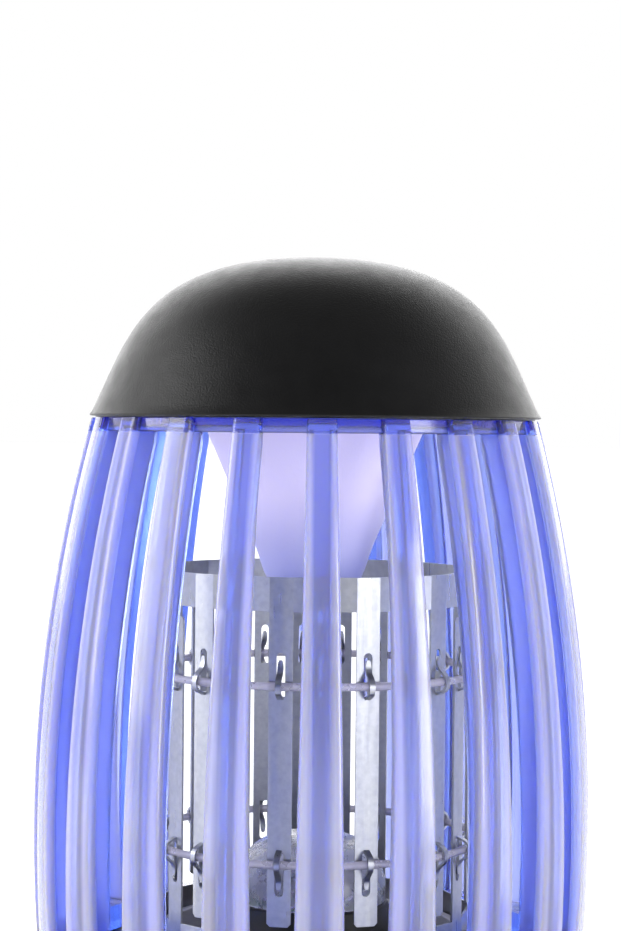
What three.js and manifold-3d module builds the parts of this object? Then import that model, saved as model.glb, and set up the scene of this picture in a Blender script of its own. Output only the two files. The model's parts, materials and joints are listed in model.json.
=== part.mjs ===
// An electric bug zapper: a black domed cap, a barrel-shaped guard of ribs, a steel shock grid,
// an ultraviolet light that shines up at a white reflector, and a base with a pull-out tray.
// Millimetres, +Z up, origin on the table under the middle. The front is -Y.
import * as THREE from 'three';
import { mergeVertices } from 'three/addons/utils/BufferGeometryUtils.js';
import Module from 'manifold-3d';

const wasm = await Module();
wasm.setup();

// ---------------------------------------------------------------- driving dimensions
const HEIGHT = 210;
const GAP = 0.3; // kept between pieces that touch

// The barrel: the outline that the ribs and the base share, one arc in side view.
const BARREL_RADIUS = 65;
const BARREL_WIDEST_Z = 78;
const BARREL_ARC = 360;

// The cap.
const CAP_EDGE_Z = 172.7;
const CAP_EDGE_RADIUS = 52.8;
const CAP_WALL = 2;
const CAP_SHOULDER = [44.2, 17]; // outline control points: radius, height over the edge
const CAP_CROWN_RADIUS = 42;
const CAP_BOSS_CIRCLE = 42;
const CAP_BOSS_RADIUS = 3.6;

// The ribbed guard.
const RIB_COUNT = 20;
const RIB_STEPS = 6;
const RIB_WIDTH_TOP = 6.6;
const RIB_WIDTH_BOTTOM = 11.4;
const RIB_BEVEL = 1;
const RIB_FLANGE = 2.2;
const RIB_DEPTH = 8.2;
const FIN_WIDTH_TOP = 3.6;
const FIN_WIDTH_BOTTOM = 2.3;
const GUARD_TOP_Z = CAP_EDGE_Z - GAP;
const GUARD_SKIRT = 3.2;
const GUARD_SKIRT_RADIUS = 50.8;
const GUARD_SKIRT_WIDTH = 5.4;
const GUARD_ROOF = 1.7;
const GUARD_ROOF_HOLE = 33.5;
const GUARD_FOOT_Z = 46.3;
const GUARD_FOOT_HEIGHT = 5.7;
const GUARD_FOOT_WIDTH = 9.5;
const GUARD_SCREW_CIRCLE = 57;
const GUARD_SCREW_TURNS = [75, 135, 225, 285]; // clear of the tray's front panel

// The reflector that hangs in the guard's roof.
const REFLECTOR_TOP_RADIUS = 26.8;
const REFLECTOR_TIP_Z = 130.6;
const REFLECTOR_WALL = 1.6;
const REFLECTOR_FLANGE_RADIUS = 38;
const REFLECTOR_SCREW_CIRCLE = 35.8;

// The shock grid: two stamped steel combs whose fingers pass each other.
const FINGER_COUNT = 12;
const GRID_RADIUS = 37.3; // to a finger's edges
const SHEET = 0.5;
const FINGER_WIDTH = 5.4;
const FINGER_FACE = Math.sqrt(GRID_RADIUS ** 2 - (FINGER_WIDTH / 2) ** 2); // from the axis
const COLLAR_TOP_Z = 137.5;
const COLLAR_HEIGHT = 7.6;
const GRID_MIDDLE_Z = 94;
const FINGER_CLEARANCE = 2.4; // free end to the other comb's collar
const UPPER_COMB_TURN = -12.6; // degrees from the front
const SLOT_WIDTH = 2;
const SLOT_Z = [111.3, 120.9];
const TONGUE_WIDTH = 1.3;
const LOOP_Z = 113.6;
const LOOP_RADIUS = 1.0;

// The ring that the lower comb stands in, and its groove.
const CARRIER = [33.6, 40.4];
const CARRIER_HEIGHT = 7;
const GROOVE = [35.6, 38.3];
const GROOVE_FLOOR = 3.2;

// The light: a pod, a board with six LEDs on it, and a lens.
const POD_RADIUS = 21;
const POD_TOP_RADIUS = 18;
const POD_HEIGHT = 13;
const LED_BOARD_RADIUS = 16;
const LED_BOARD_Z = [57.6, 59.2];
const LED_COUNT = 6;
const LED_CIRCLE = 10;

// The base.
const HOUSING_FOOT_Z = 3;
const HOUSING_RIM_Z = 46;
const HOUSING_WALL = 2.2;
const FLOOR_Z = [23, 25];
const COLUMN_RADIUS = 9.2;
const COLUMN_WALL = 2;
const DECK_Z = [43.8, 46];
const DECK_RADIUS = 60.8;
const OUTER_WINDOW = [41.6, 47.4]; // radii of the windows that insects fall through
const OUTER_WINDOW_HALF_TURN = 16;
const INNER_WINDOW = [23, 31.6];
const INNER_WINDOW_HALF_TURN = 22;
const FLOOR_RADIUS = 59.6; // reaches into the wall
const LEDGE = [59.6, 61.6]; // the ledge inside the wall that the deck rests on
const LEDGE_FOOT_Z = 41.6;
const POST_RADIUS = 3.6;
const BOTTOM_PLATE_Z = [3.2, 5.7];
const BOTTOM_PLATE_RADIUS = 54.9;
const BOTTOM_SCREW_CIRCLE = 49.5;
const FOOT_CIRCLE = 42;
const FOOT_RADIUS = 6;
const FOOT_HEIGHT = 3.5;

// The tray.
const TRAY_HALF_WIDTH = 48.5;
const TRAY_RADIUS = 58.6;
const TRAY_BACK = 42;
const TRAY_Z = [25.4, 41.5];
const TRAY_WALL = 1.6;
const TRAY_SLOT = 10.8; // half the width of the slot that clears the column
const TRAY_PANEL_Z = [25.4, 43];
const TRAY_PANEL_HALF = 50.2;

// The circuit board and what stands on it.
const BOARD_Z = [9, 10.6];
const BOARD_SIZE = [66, 44];

// The switch, on the right, and the power socket, at the back.
const INLET_Z = 14.6;
const SWITCH_PIVOT_X = 56.4;
const SWITCH_FACE_X = 60.2;
const ROCKER_TILT = 8; // degrees either side of level
const SOCKET_FACE_Y = 59.6;

const ROUND = 40; // sides of a large round piece: two to a rib

// ---------------------------------------------------------------- materials
const finish = (color, roughness, metalness = 0) =>
  new THREE.MeshStandardMaterial({ color, roughness, metalness });

const BLACK = finish(0x151517, 0.55);
const BLUE = finish(0x8090f0, 0.2);
const WHITE = finish(0xeeeaf4, 0.6);
const STEEL = finish(0xb6bac6, 0.3, 1);
const NYLON = finish(0xb4aec8, 0.4);
const SCREW_STEEL = finish(0x9a9ca0, 0.35, 1);
const BOARD_GREEN = finish(0x1f6b3a, 0.5);
const FERRITE = finish(0x3a3733, 0.7);
const FILM = finish(0x7a3418, 0.4);
const EPOXY = finish(0x222222, 0.5);
const LED_CLEAR = finish(0xd8d4f2, 0.15);
const LENS_CLEAR = finish(0xe6e6f4, 0.2);
const RED_SLEEVE = finish(0xa02020, 0.5);
const RUBBER = finish(0x1c1c1c, 0.9);

// ---------------------------------------------------------------- geometry helpers
const radians = THREE.MathUtils.degToRad;
const lerp = THREE.MathUtils.lerp;

// Welds a closed geometry's vertices and makes it a solid for joining and cutting.
function solid(geometry) {
  const bare = geometry.clone();
  bare.deleteAttribute('normal');
  bare.deleteAttribute('uv');
  const welded = mergeVertices(bare, 1e-4);
  const index = Array.from(welded.index.array);
  const triangles = [];
  for (let i = 0; i < index.length; i += 3) {
    const [a, b, c] = index.slice(i, i + 3);
    if (a !== b && b !== c && c !== a) triangles.push(a, b, c);
  }
  const vertProperties = new Float32Array(welded.attributes.position.array);
  const triVerts = new Uint32Array(triangles);
  return new wasm.Manifold(new wasm.Mesh({ numProp: 3, vertProperties, triVerts }));
}

// Turns a solid back into a geometry for a mesh.
function geometryOf(body) {
  const { vertProperties, triVerts } = body.getMesh();
  const geometry = new THREE.BufferGeometry();
  geometry.setAttribute('position', new THREE.BufferAttribute(vertProperties, 3));
  geometry.setIndex(new THREE.BufferAttribute(triVerts, 1));
  geometry.computeVertexNormals();
  return geometry;
}

const joined = (bodies) => bodies.reduce((whole, body) => whole.add(body));
const cut = (body, tools) => tools.reduce((rest, tool) => rest.subtract(tool), body);

// A closed outline of [radius, z] points turned about Z.
function turned(outline, sides = ROUND) {
  const points = outline.map(([r, z]) => new THREE.Vector2(r, z));
  if (THREE.ShapeUtils.area(points) < 0) points.reverse();
  points.push(points[0].clone());
  return solid(new THREE.LatheGeometry(points, sides).rotateX(Math.PI / 2));
}

// A rod or disc about Z, from one height to another.
function disc(radius, [low, high], sides = ROUND) {
  return turned([[0, low], [radius, low], [radius, high], [0, high]], sides);
}

function tube(inner, outer, [low, high], sides = ROUND) {
  return turned([[inner, low], [outer, low], [outer, high], [inner, high]], sides);
}

function box([x0, x1], [y0, y1], [z0, z1]) {
  const geometry = new THREE.BoxGeometry(x1 - x0, y1 - y0, z1 - z0);
  return solid(geometry.translate((x0 + x1) / 2, (y0 + y1) / 2, (z0 + z1) / 2));
}

// A flat shape in X and Y, pulled up from one height to another.
function plate(shape, [low, high]) {
  const options = { depth: high - low, bevelEnabled: false };
  return solid(new THREE.ExtrudeGeometry(shape, options).translate(0, 0, low));
}

// Degrees about Z, counted from the front towards the right.
const spun = (body, degrees) => body.rotate([0, 0, degrees]);
const moved = (body, x, y, z = 0) => body.translate([x, y, z]);

function around(degrees, radius) {
  return [radius * Math.sin(radians(degrees)), -radius * Math.cos(radians(degrees))];
}

// Evenly spaced directions about Z, and a piece's copies in such directions.
const evenly = (count, start = 0) =>
  Array.from({ length: count }, (_, i) => start + (i * 360) / count);
const copiesAt = (body, turns) => turns.map((turn) => spun(body, turn));
const ringOf = (body, count, start = 0) => copiesAt(body, evenly(count, start));

// A solid through rings of points, each ring one closed section.
function lofted(rings) {
  const size = rings[0].length;
  const positions = rings.flat().flatMap((p) => [p.x, p.y, p.z]);
  const index = [];
  for (let k = 0; k + 1 < rings.length; k += 1) {
    for (let i = 0; i < size; i += 1) {
      const j = (i + 1) % size;
      const [a, b] = [k * size + i, k * size + j];
      index.push(a, b, b + size, a, b + size, a + size);
    }
  }
  const section = rings[0].map((p) => new THREE.Vector2(p.x, p.y));
  const last = (rings.length - 1) * size;
  for (const [a, b, c] of THREE.ShapeUtils.triangulateShape(section, [])) {
    index.push(c, b, a, last + a, last + b, last + c);
  }
  const geometry = new THREE.BufferGeometry();
  geometry.setAttribute('position', new THREE.Float32BufferAttribute(positions, 3));
  geometry.setIndex(index);
  return solid(geometry);
}

// ---------------------------------------------------------------- shared outlines
function barrelRadius(z) {
  const off = z - BARREL_WIDEST_Z;
  return BARREL_RADIUS - BARREL_ARC + Math.sqrt(BARREL_ARC ** 2 - off ** 2);
}

// Points up the barrel between two heights, moved in by an inset.
function barrelLine([low, high], inset, steps) {
  return Array.from({ length: steps + 1 }, (_, i) => {
    const z = lerp(low, high, i / steps);
    return [barrelRadius(z) - inset, z];
  });
}

// A part of the barrel's wall.
function barrelWall([low, high], inner, outerInset = 0, steps = 3) {
  const outside = barrelLine([low, high], outerInset, steps);
  const inside = barrelLine([low, high], inner, steps).reverse();
  return turned([...outside, ...inside]);
}

// ---------------------------------------------------------------- the cap
function capOutline(inset, lift) {
  const curve = new THREE.CubicBezierCurve(
    new THREE.Vector2(CAP_EDGE_RADIUS - inset, CAP_EDGE_Z),
    new THREE.Vector2(CAP_SHOULDER[0] - inset, CAP_EDGE_Z + CAP_SHOULDER[1]),
    new THREE.Vector2(CAP_CROWN_RADIUS - inset, HEIGHT - lift),
    new THREE.Vector2(0, HEIGHT - lift),
  );
  return curve.getPoints(7).map((p) => [p.x, p.y]);
}

function topCap() {
  const outer = turned([...capOutline(0, 0), [0, CAP_EDGE_Z]]);
  const inner = turned([...capOutline(CAP_WALL, CAP_WALL), [0, CAP_EDGE_Z]]);
  const boss = moved(disc(CAP_BOSS_RADIUS, [CAP_EDGE_Z, HEIGHT], 10), 0, -CAP_BOSS_CIRCLE);
  const screwHole = moved(disc(1.4, [CAP_EDGE_Z - 1, CAP_EDGE_Z + 9], 8), 0, -CAP_BOSS_CIRCLE);
  const bosses = ringOf(boss, 4, 45).map((post) => post.intersect(outer));
  return cut(joined([outer.subtract(inner), ...bosses]), ringOf(screwHole, 4, 45));
}

// ---------------------------------------------------------------- the ribbed guard
// One rib's section at a height: a bevelled flange outside and a fin behind it.
function ribSection(z) {
  const t = (z - GUARD_FOOT_Z) / (GUARD_TOP_Z - GUARD_FOOT_Z);
  const half = lerp(RIB_WIDTH_BOTTOM, RIB_WIDTH_TOP, t) / 2;
  const fin = lerp(FIN_WIDTH_BOTTOM, FIN_WIDTH_TOP, t) / 2;
  const face = -barrelRadius(z);
  const back = face + RIB_FLANGE;
  const tip = face + RIB_DEPTH;
  const points = [
    [RIB_BEVEL - half, face], [half - RIB_BEVEL, face], [half, back], [fin, back],
    [fin, tip], [-fin, tip], [-fin, back], [-half, back],
  ];
  return points.map(([x, y]) => new THREE.Vector3(x, y, z));
}

function rib() {
  const foot = GUARD_FOOT_Z + GUARD_FOOT_HEIGHT / 2;
  const heights = Array.from({ length: RIB_STEPS + 1 }, (_, i) =>
    lerp(foot, GUARD_TOP_Z, i / RIB_STEPS));
  return lofted(heights.map(ribSection));
}

function guard() {
  const skirtInside = GUARD_SKIRT_RADIUS - GUARD_SKIRT_WIDTH;
  const roof = turned([
    [GUARD_ROOF_HOLE, GUARD_TOP_Z - GUARD_ROOF], [skirtInside, GUARD_TOP_Z - GUARD_ROOF],
    [skirtInside, GUARD_TOP_Z - GUARD_SKIRT], [GUARD_SKIRT_RADIUS, GUARD_TOP_Z - GUARD_SKIRT],
    [GUARD_SKIRT_RADIUS, GUARD_TOP_Z], [GUARD_ROOF_HOLE, GUARD_TOP_Z],
  ]);
  const footZ = [GUARD_FOOT_Z, GUARD_FOOT_Z + GUARD_FOOT_HEIGHT];
  const foot = barrelWall(footZ, GUARD_FOOT_WIDTH, 0.2, 1);
  const capHole = moved(disc(1.8, [GUARD_TOP_Z - 5, GUARD_TOP_Z + 1], 8), 0, -CAP_BOSS_CIRCLE);
  const reflectorHole = moved(disc(1.5, [GUARD_TOP_Z - 5, GUARD_TOP_Z + 1], 8), 0,
    -REFLECTOR_SCREW_CIRCLE);
  const footHole = moved(disc(1.4, [GUARD_FOOT_Z - 1, GUARD_FOOT_Z + 4.4], 8), 0,
    -GUARD_SCREW_CIRCLE);
  const holes = [
    ...ringOf(capHole, 4, 45), ...ringOf(reflectorHole, 3, 60),
    ...copiesAt(footHole, GUARD_SCREW_TURNS),
  ];
  return cut(joined([roof, foot, ...ringOf(rib(), RIB_COUNT)]), holes);
}

// ---------------------------------------------------------------- the reflector
function reflectorOutline(inset) {
  const top = GUARD_TOP_Z + GAP;
  const curve = new THREE.SplineCurve([
    new THREE.Vector2(REFLECTOR_TOP_RADIUS - inset, top),
    new THREE.Vector2(20.9 - inset, 159),
    new THREE.Vector2(14.3 - inset, 143.8),
    new THREE.Vector2(11.2 - inset, 135.4),
    new THREE.Vector2(7.6 - inset * 0.7, 131.8 + inset * 0.7),
    new THREE.Vector2(0, REFLECTOR_TIP_Z + inset),
  ]);
  return curve.getPoints(7).map((p) => [Math.max(p.x, 0), p.y]);
}

function reflector() {
  const top = GUARD_TOP_Z + GAP;
  const outer = turned([[0, top + REFLECTOR_WALL], [REFLECTOR_TOP_RADIUS, top + REFLECTOR_WALL],
    ...reflectorOutline(0)], 28);
  const inner = turned([[0, top + 3], [REFLECTOR_TOP_RADIUS - REFLECTOR_WALL, top + 3],
    ...reflectorOutline(REFLECTOR_WALL)], 28);
  const flange = disc(REFLECTOR_FLANGE_RADIUS, [top, top + REFLECTOR_WALL], 28);
  const hole = moved(disc(1.6, [top - 1, top + 3], 8), 0, -REFLECTOR_SCREW_CIRCLE);
  return cut(outer.add(flange), [inner, ...ringOf(hole, 3, 60)]);
}

// ---------------------------------------------------------------- the shock grid
// A lanced slot: straight sides, a round top and a square root.
function slotOutline(Kind, [low, high], width, grow = 0) {
  const half = width / 2 + grow;
  const outline = new Kind();
  outline.moveTo(-half, low);
  outline.lineTo(half, low);
  outline.lineTo(half, high - half);
  outline.absarc(0, high - half, half, 0, Math.PI, false);
  outline.lineTo(-half, low);
  return outline;
}

// The tongue that the slot's metal makes: it leaves the sheet at the slot's root, passes
// outside the insulating loop, and comes back in above it. Side view: outward, z.
function tongue([low, high], width) {
  const reach = GAP + 2 * LOOP_RADIUS + GAP;
  const middle = [
    [-SHEET / 2, low - 0.6], [reach + SHEET / 2, low + 1], [reach + SHEET / 2, low + 3.4],
    [0.1, high - 1.6],
  ].map(([out, z]) => new THREE.Vector2(out, z));
  const half = SHEET / 2;
  const sides = [half, -half].map((offset) => middle.map((p, i) => {
    const before = middle[Math.max(i - 1, 0)];
    const after = middle[Math.min(i + 1, middle.length - 1)];
    const along = after.clone().sub(before).normalize();
    return new THREE.Vector2(p.x + along.y * offset, p.y - along.x * offset);
  }));
  const shape = new THREE.Shape([...sides[0], ...sides[1].reverse()]);
  const strip = new THREE.ExtrudeGeometry(shape, { depth: width, bevelEnabled: false });
  strip.translate(0, 0, -width / 2);
  // From (out, z, across) to (across, -out, z).
  const turn = new THREE.Matrix4().makeBasis(
    new THREE.Vector3(0, -1, 0), new THREE.Vector3(0, 0, 1), new THREE.Vector3(-1, 0, 0));
  return solid(strip.applyMatrix4(turn));
}

// One finger at the front, with its slot and tongue near both ends.
function finger(topZ, tipZ) {
  const half = FINGER_WIDTH / 2;
  const shape = new THREE.Shape();
  shape.moveTo(-half, tipZ);
  shape.lineTo(half, tipZ);
  shape.lineTo(half, topZ);
  shape.lineTo(-half, topZ);
  shape.closePath();
  shape.holes.push(slotOutline(THREE.Path, SLOT_Z, SLOT_WIDTH));
  const lowSlot = slotOutline(THREE.Shape, SLOT_Z, SLOT_WIDTH).getPoints(2);
  shape.holes.push(new THREE.Path(lowSlot.map((p) =>
    new THREE.Vector2(p.x, 2 * GRID_MIDDLE_Z - p.y))));
  const sheet = new THREE.ExtrudeGeometry(shape, {
    depth: SHEET, bevelEnabled: false, curveSegments: 2,
  });
  const strip = moved(solid(sheet.rotateX(Math.PI / 2)), 0, SHEET - FINGER_FACE);
  const upper = moved(tongue(SLOT_Z, TONGUE_WIDTH), 0, -FINGER_FACE);
  const lower = mirrored(upper);
  return joined([strip, upper, lower]);
}

// The same piece upside down about the grid's middle.
function mirrored(body) {
  return body.translate([0, 0, -GRID_MIDDLE_Z]).rotate([0, 180, 0])
    .translate([0, 0, GRID_MIDDLE_Z]);
}

// The collar's corners: two at each finger's edges.
function collarShape(radius) {
  const edge = THREE.MathUtils.radToDeg(Math.asin(FINGER_WIDTH / 2 / GRID_RADIUS));
  const corners = [];
  for (let i = 0; i < FINGER_COUNT; i += 1) {
    const turn = (i * 360) / FINGER_COUNT;
    corners.push(new THREE.Vector2(...around(turn - edge, radius)));
    corners.push(new THREE.Vector2(...around(turn + edge, radius)));
  }
  return corners;
}

function upperComb() {
  const innerRadius = GRID_RADIUS * (1 - SHEET / FINGER_FACE);
  const collarZ = [COLLAR_TOP_Z - COLLAR_HEIGHT, COLLAR_TOP_Z];
  const ring = new THREE.Shape(collarShape(GRID_RADIUS));
  ring.holes.push(new THREE.Path(collarShape(innerRadius)));
  const tipZ = 2 * GRID_MIDDLE_Z - collarZ[0] + FINGER_CLEARANCE;
  const fingers = ringOf(finger(COLLAR_TOP_Z, tipZ), FINGER_COUNT);
  return spun(joined([plate(ring, collarZ), ...fingers]), UPPER_COMB_TURN);
}

// The lower comb is the same stamping upside down, half a pitch on.
function lowerComb() {
  const flipped = mirrored(spun(upperComb(), -UPPER_COMB_TURN));
  return spun(flipped, UPPER_COMB_TURN + 180 / FINGER_COUNT);
}

// The insulating loop that runs through all the tongues at one height.
function insulatorLoop(z) {
  const centre = FINGER_FACE + GAP + LOOP_RADIUS;
  const outline = Array.from({ length: 5 }, (_, i) => {
    const turn = radians(i * 72);
    return [centre + LOOP_RADIUS * Math.cos(turn), z + LOOP_RADIUS * Math.sin(turn)];
  });
  return turned(outline, 40);
}

// The insulating ring that the lower comb stands in.
function gridCarrier() {
  const foot = DECK_Z[1] + GAP;
  const ring = tube(...CARRIER, [foot, foot + CARRIER_HEIGHT]);
  const groove = tube(...GROOVE, [foot + GROOVE_FLOOR, foot + CARRIER_HEIGHT + 1]);
  const leadNotch = box([-9, 9], [30, 36], [foot - 1, foot + CARRIER_HEIGHT + 1]);
  return cut(ring, [groove, leadNotch]);
}

// ---------------------------------------------------------------- the light
function ledPod() {
  const foot = DECK_Z[1] + GAP;
  const top = foot + POD_HEIGHT;
  const outer = turned([[0, foot], [POD_RADIUS, foot], [POD_RADIUS - 1, foot + 8],
    [POD_TOP_RADIUS, top], [0, top]], 28);
  const hollow = turned([[0, foot - 1], [POD_RADIUS - 1.6, foot - 1], [POD_RADIUS - 2.6, foot + 7.4],
    [POD_TOP_RADIUS - 2, top - 3.4], [0, top - 3.4]], 28);
  const seat = disc(LED_BOARD_RADIUS + GAP, [top - 2, top + 1], 28);
  const leadHole = disc(3, [foot + 5, top + 1], 12);
  const backDoor = box([-9, 9], [15, 24], [foot - 1, foot + 3.4]);
  return cut(outer, [hollow, seat, leadHole, backDoor]);
}

function ledBoard() {
  return disc(LED_BOARD_RADIUS, LED_BOARD_Z, 28).subtract(disc(2, [50, 70], 8));
}

function led(index) {
  const foot = LED_BOARD_Z[1] + GAP;
  const outline = [[0, foot], [2.9, foot], [2.9, foot + 1], [2.5, foot + 1], [2.5, foot + 5],
    [1.8, foot + 6.8], [0, foot + 7.5]];
  return moved(turned(outline, 8), ...around(30 + (index * 360) / LED_COUNT, LED_CIRCLE));
}

function ledLens() {
  const foot = DECK_Z[1] + GAP + POD_HEIGHT + GAP;
  const outer = turned([[0, foot], [17.6, foot], [17.2, foot + 6], [14, foot + 12], [8, foot + 15],
    [0, foot + 16]], 28);
  const inner = turned([[0, foot - 1], [16, foot - 1], [15.6, foot + 5.4], [12.8, foot + 10.8],
    [7.4, foot + 13.5], [0, foot + 14.4]], 28);
  return outer.subtract(inner);
}

// ---------------------------------------------------------------- the base
function baseDeck() {
  const outerTurns = evenly(8).filter((turn) => turn !== 180);
  const innerTurns = evenly(6).filter((turn) => turn !== 180);
  const windows = [
    ...outerTurns.map((turn) => sector(OUTER_WINDOW, turn, OUTER_WINDOW_HALF_TURN)),
    ...innerTurns.map((turn) => sector(INNER_WINDOW, turn, INNER_WINDOW_HALF_TURN)),
  ];
  const through = [DECK_Z[0] - 1, DECK_Z[1] + 1];
  const cuts = windows.map((shape) => plate(shape, through));
  const columnHole = disc(COLUMN_RADIUS - COLUMN_WALL, through, 16);
  const screwHole = moved(disc(1.6, through, 8), 0, -GUARD_SCREW_CIRCLE);
  return cut(disc(DECK_RADIUS, DECK_Z), [...cuts, columnHole,
    ...copiesAt(screwHole, GUARD_SCREW_TURNS)]);
}

// A flat piece of a ring, so many degrees either side of one direction.
function sector([inner, outer], turn, halfTurn) {
  const steps = 3;
  const edge = (radius, side) => Array.from({ length: steps + 1 }, (_, i) =>
    new THREE.Vector2(...around(turn + side * lerp(-halfTurn, halfTurn, i / steps), radius)));
  return new THREE.Shape([...edge(outer, 1), ...edge(inner, -1)]);
}

function baseHousing() {
  const wall = barrelWall([HOUSING_FOOT_Z, HOUSING_RIM_Z], HOUSING_WALL);
  const floor = disc(FLOOR_RADIUS, FLOOR_Z);
  const column = disc(COLUMN_RADIUS, [FLOOR_Z[0], DECK_Z[0] - GAP], 16);
  const ledge = tube(...LEDGE, [LEDGE_FOOT_Z, DECK_Z[0] - GAP]);
  const post = moved(disc(POST_RADIUS, [BOTTOM_PLATE_Z[1] + GAP, FLOOR_Z[1] - 0.5], 8), 0,
    -BOTTOM_SCREW_CIRCLE);
  const postHole = moved(disc(1.4, [0, 16], 8), 0, -BOTTOM_SCREW_CIRCLE);
  const bore = disc(COLUMN_RADIUS - COLUMN_WALL, [0, 60], 16);
  const trayDoor = box([-TRAY_PANEL_HALF - 0.4, TRAY_PANEL_HALF + 0.4], [-80, -20],
    [FLOOR_Z[1], TRAY_PANEL_Z[1] + 0.4]);
  const switchHole = box([50, 70], [-7.9, 7.9], [INLET_Z - 5.6, INLET_Z + 5.6]);
  const socketHole = box([-6.4, 6.4], [50, 70], [INLET_Z - 5.6, INLET_Z + 5.6]);
  const whole = joined([wall, floor, column, ledge, ...ringOf(post, 4, 45)]);
  return cut(whole, [bore, trayDoor, switchHole, socketHole, ...ringOf(postHole, 4, 45)]);
}

function insectTray() {
  const outline = (inset) => {
    const half = TRAY_HALF_WIDTH - inset;
    const z = [TRAY_Z[0] + inset, TRAY_Z[1] + 2 * inset];
    const round = disc(TRAY_RADIUS - inset, z);
    const sides = box([-half, half], [-70, TRAY_BACK - inset], z);
    const slot = disc(TRAY_SLOT + inset, [0, 60], 16)
      .add(box([-TRAY_SLOT - inset, TRAY_SLOT + inset], [0, 60], [0, 60]));
    return round.intersect(sides).subtract(slot);
  };
  const pan = outline(0).subtract(outline(TRAY_WALL));
  const front = box([-TRAY_PANEL_HALF, TRAY_PANEL_HALF], [-80, -20], TRAY_PANEL_Z);
  const panelInside = disc(58, [0, 60]);
  const panelOutside = turned([[0, TRAY_PANEL_Z[0]], ...barrelLine(TRAY_PANEL_Z, 0.1, 3),
    [0, TRAY_PANEL_Z[1]]]);
  const panel = panelOutside.subtract(panelInside).intersect(front);
  const pull = tube(59, 64.6, [36.6, 39]).intersect(box([-20, 20], [-80, -20], [30, 42]));
  return joined([pan, panel, pull]);
}

function bottomPlate() {
  const through = [0, 10];
  const disk = disc(BOTTOM_PLATE_RADIUS, BOTTOM_PLATE_Z);
  const standoff = (x, y) => moved(disc(2.6, [BOTTOM_PLATE_Z[0], BOARD_Z[0] - GAP], 10), x, y);
  const standoffs = boardCorners().map(([x, y]) => standoff(x, y));
  const pilot = boardCorners().map(([x, y]) => moved(disc(1.1, [5, 12], 8), x, y));
  const screwHole = moved(disc(1.7, through, 8), 0, -BOTTOM_SCREW_CIRCLE);
  const footSeat = moved(disc(FOOT_RADIUS + GAP, [0, FOOT_HEIGHT + GAP], 16), 0, -FOOT_CIRCLE);
  const vents = [-16, -8, 0, 8, 16].map((x) => moved(box([-1.2, 1.2], [-12, 12], through), x, 0));
  return cut(joined([disk, ...standoffs]),
    [...pilot, ...ringOf(screwHole, 4, 45), ...ringOf(footSeat, 4, 0), ...vents]);
}

const rubberFoot = () => disc(FOOT_RADIUS, [0, FOOT_HEIGHT], 16);

// ---------------------------------------------------------------- electronics
function boardCorners() {
  const [x, y] = [BOARD_SIZE[0] / 2 - 4, BOARD_SIZE[1] / 2 - 4];
  return [[-x, -y], [x, y]];
}

function board() {
  const [halfX, halfY] = BOARD_SIZE.map((side) => side / 2);
  const slab = box([-halfX, halfX], [-halfY, halfY], BOARD_Z);
  return cut(slab, boardCorners().map(([x, y]) => moved(disc(1.5, [0, 20], 8), x, y)));
}

// The transformer: a square core with a round winding and a flat cap each end.
function transformer() {
  const foot = BOARD_Z[1] + GAP;
  const plateShape = box([-8, 8], [-7, 7], [foot, foot + 2]);
  const winding = disc(6, [foot + 1, foot + 9], 16);
  const top = box([-8, 8], [-7, 7], [foot + 8, foot + 10]);
  return moved(joined([plateShape, winding, top]), -20, 10);
}

function filmCapacitor(index) {
  const foot = BOARD_Z[1] + GAP;
  return moved(box([-6, 6], [-2.5, 2.5], [foot, foot + 8.5]), 18, -14 + index * 8);
}

// An axial part lying along Y with a leg down at each end.
function axialPart(radius, length, x, y) {
  const z = BOARD_Z[1] + GAP + radius + 0.6;
  const body = disc(radius, [-length / 2, length / 2], 10).rotate([90, 0, 0]);
  const wire = disc(0.45, [-length / 2 - 2, length / 2 + 2], 6).rotate([90, 0, 0]);
  const legs = [-1, 1].map((side) =>
    moved(disc(0.45, [BOARD_Z[1] + GAP - z, 0], 6), 0, side * (length / 2 + 1.6)));
  return moved(joined([body, wire, ...legs]), x, y, z);
}

// ---------------------------------------------------------------- switch and socket
function switchBody() {
  const shell = box([46, SWITCH_FACE_X], [-7.6, 7.6], [INLET_Z - 5.3, INLET_Z + 5.3]);
  const well = box([49.5, 70], [-6.6, 6.6], [INLET_Z - 3.7, INLET_Z + 3.7]);
  const pinHole = moved(disc(1.15, [INLET_Z - 4.7, INLET_Z + 4.7], 12), SWITCH_PIVOT_X, 0);
  return cut(shell, [well, pinHole]);
}

// The rocker, seen from above: a shallow V in front and a round back about the pivot.
function switchRocker() {
  const [reach, half, back] = [3.6, 5.6, 5.4];
  const shape = new THREE.Shape();
  shape.moveTo(reach, -half);
  shape.lineTo(reach - 1, 0);
  shape.lineTo(reach, half);
  shape.lineTo(-2.4, 4.6);
  shape.lineTo(-back, 0);
  shape.lineTo(-2.4, -4.6);
  shape.closePath();
  const paddle = plate(shape, [INLET_Z - 3.3, INLET_Z + 3.3]);
  const pin = disc(0.85, [INLET_Z - 4.4, INLET_Z + 4.4], 10);
  return moved(spun(paddle.add(pin), -ROCKER_TILT), SWITCH_PIVOT_X, 0);
}

function powerSocket() {
  const block = box([-6.1, 6.1], [46, SOCKET_FACE_Y], [INLET_Z - 5.3, INLET_Z + 5.3]);
  const along = (body) => moved(body.rotate([-90, 0, 0]), 0, 0, INLET_Z);
  const bore = along(disc(2.85, [49, 70], 20));
  const pin = along(disc(1.0, [48, SOCKET_FACE_Y - 0.8], 12));
  return block.subtract(bore).add(pin);
}

// ---------------------------------------------------------------- leads
// A round lead through a few points.
function lead(points, radius, steps) {
  const path = new THREE.CatmullRomCurve3(points.map((p) => new THREE.Vector3(...p)));
  const section = new THREE.Shape();
  section.absarc(0, 0, radius, 0, 2 * Math.PI, false);
  const options = { extrudePath: path, steps, curveSegments: 4, bevelEnabled: false };
  return solid(new THREE.ExtrudeGeometry(section, options));
}

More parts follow.
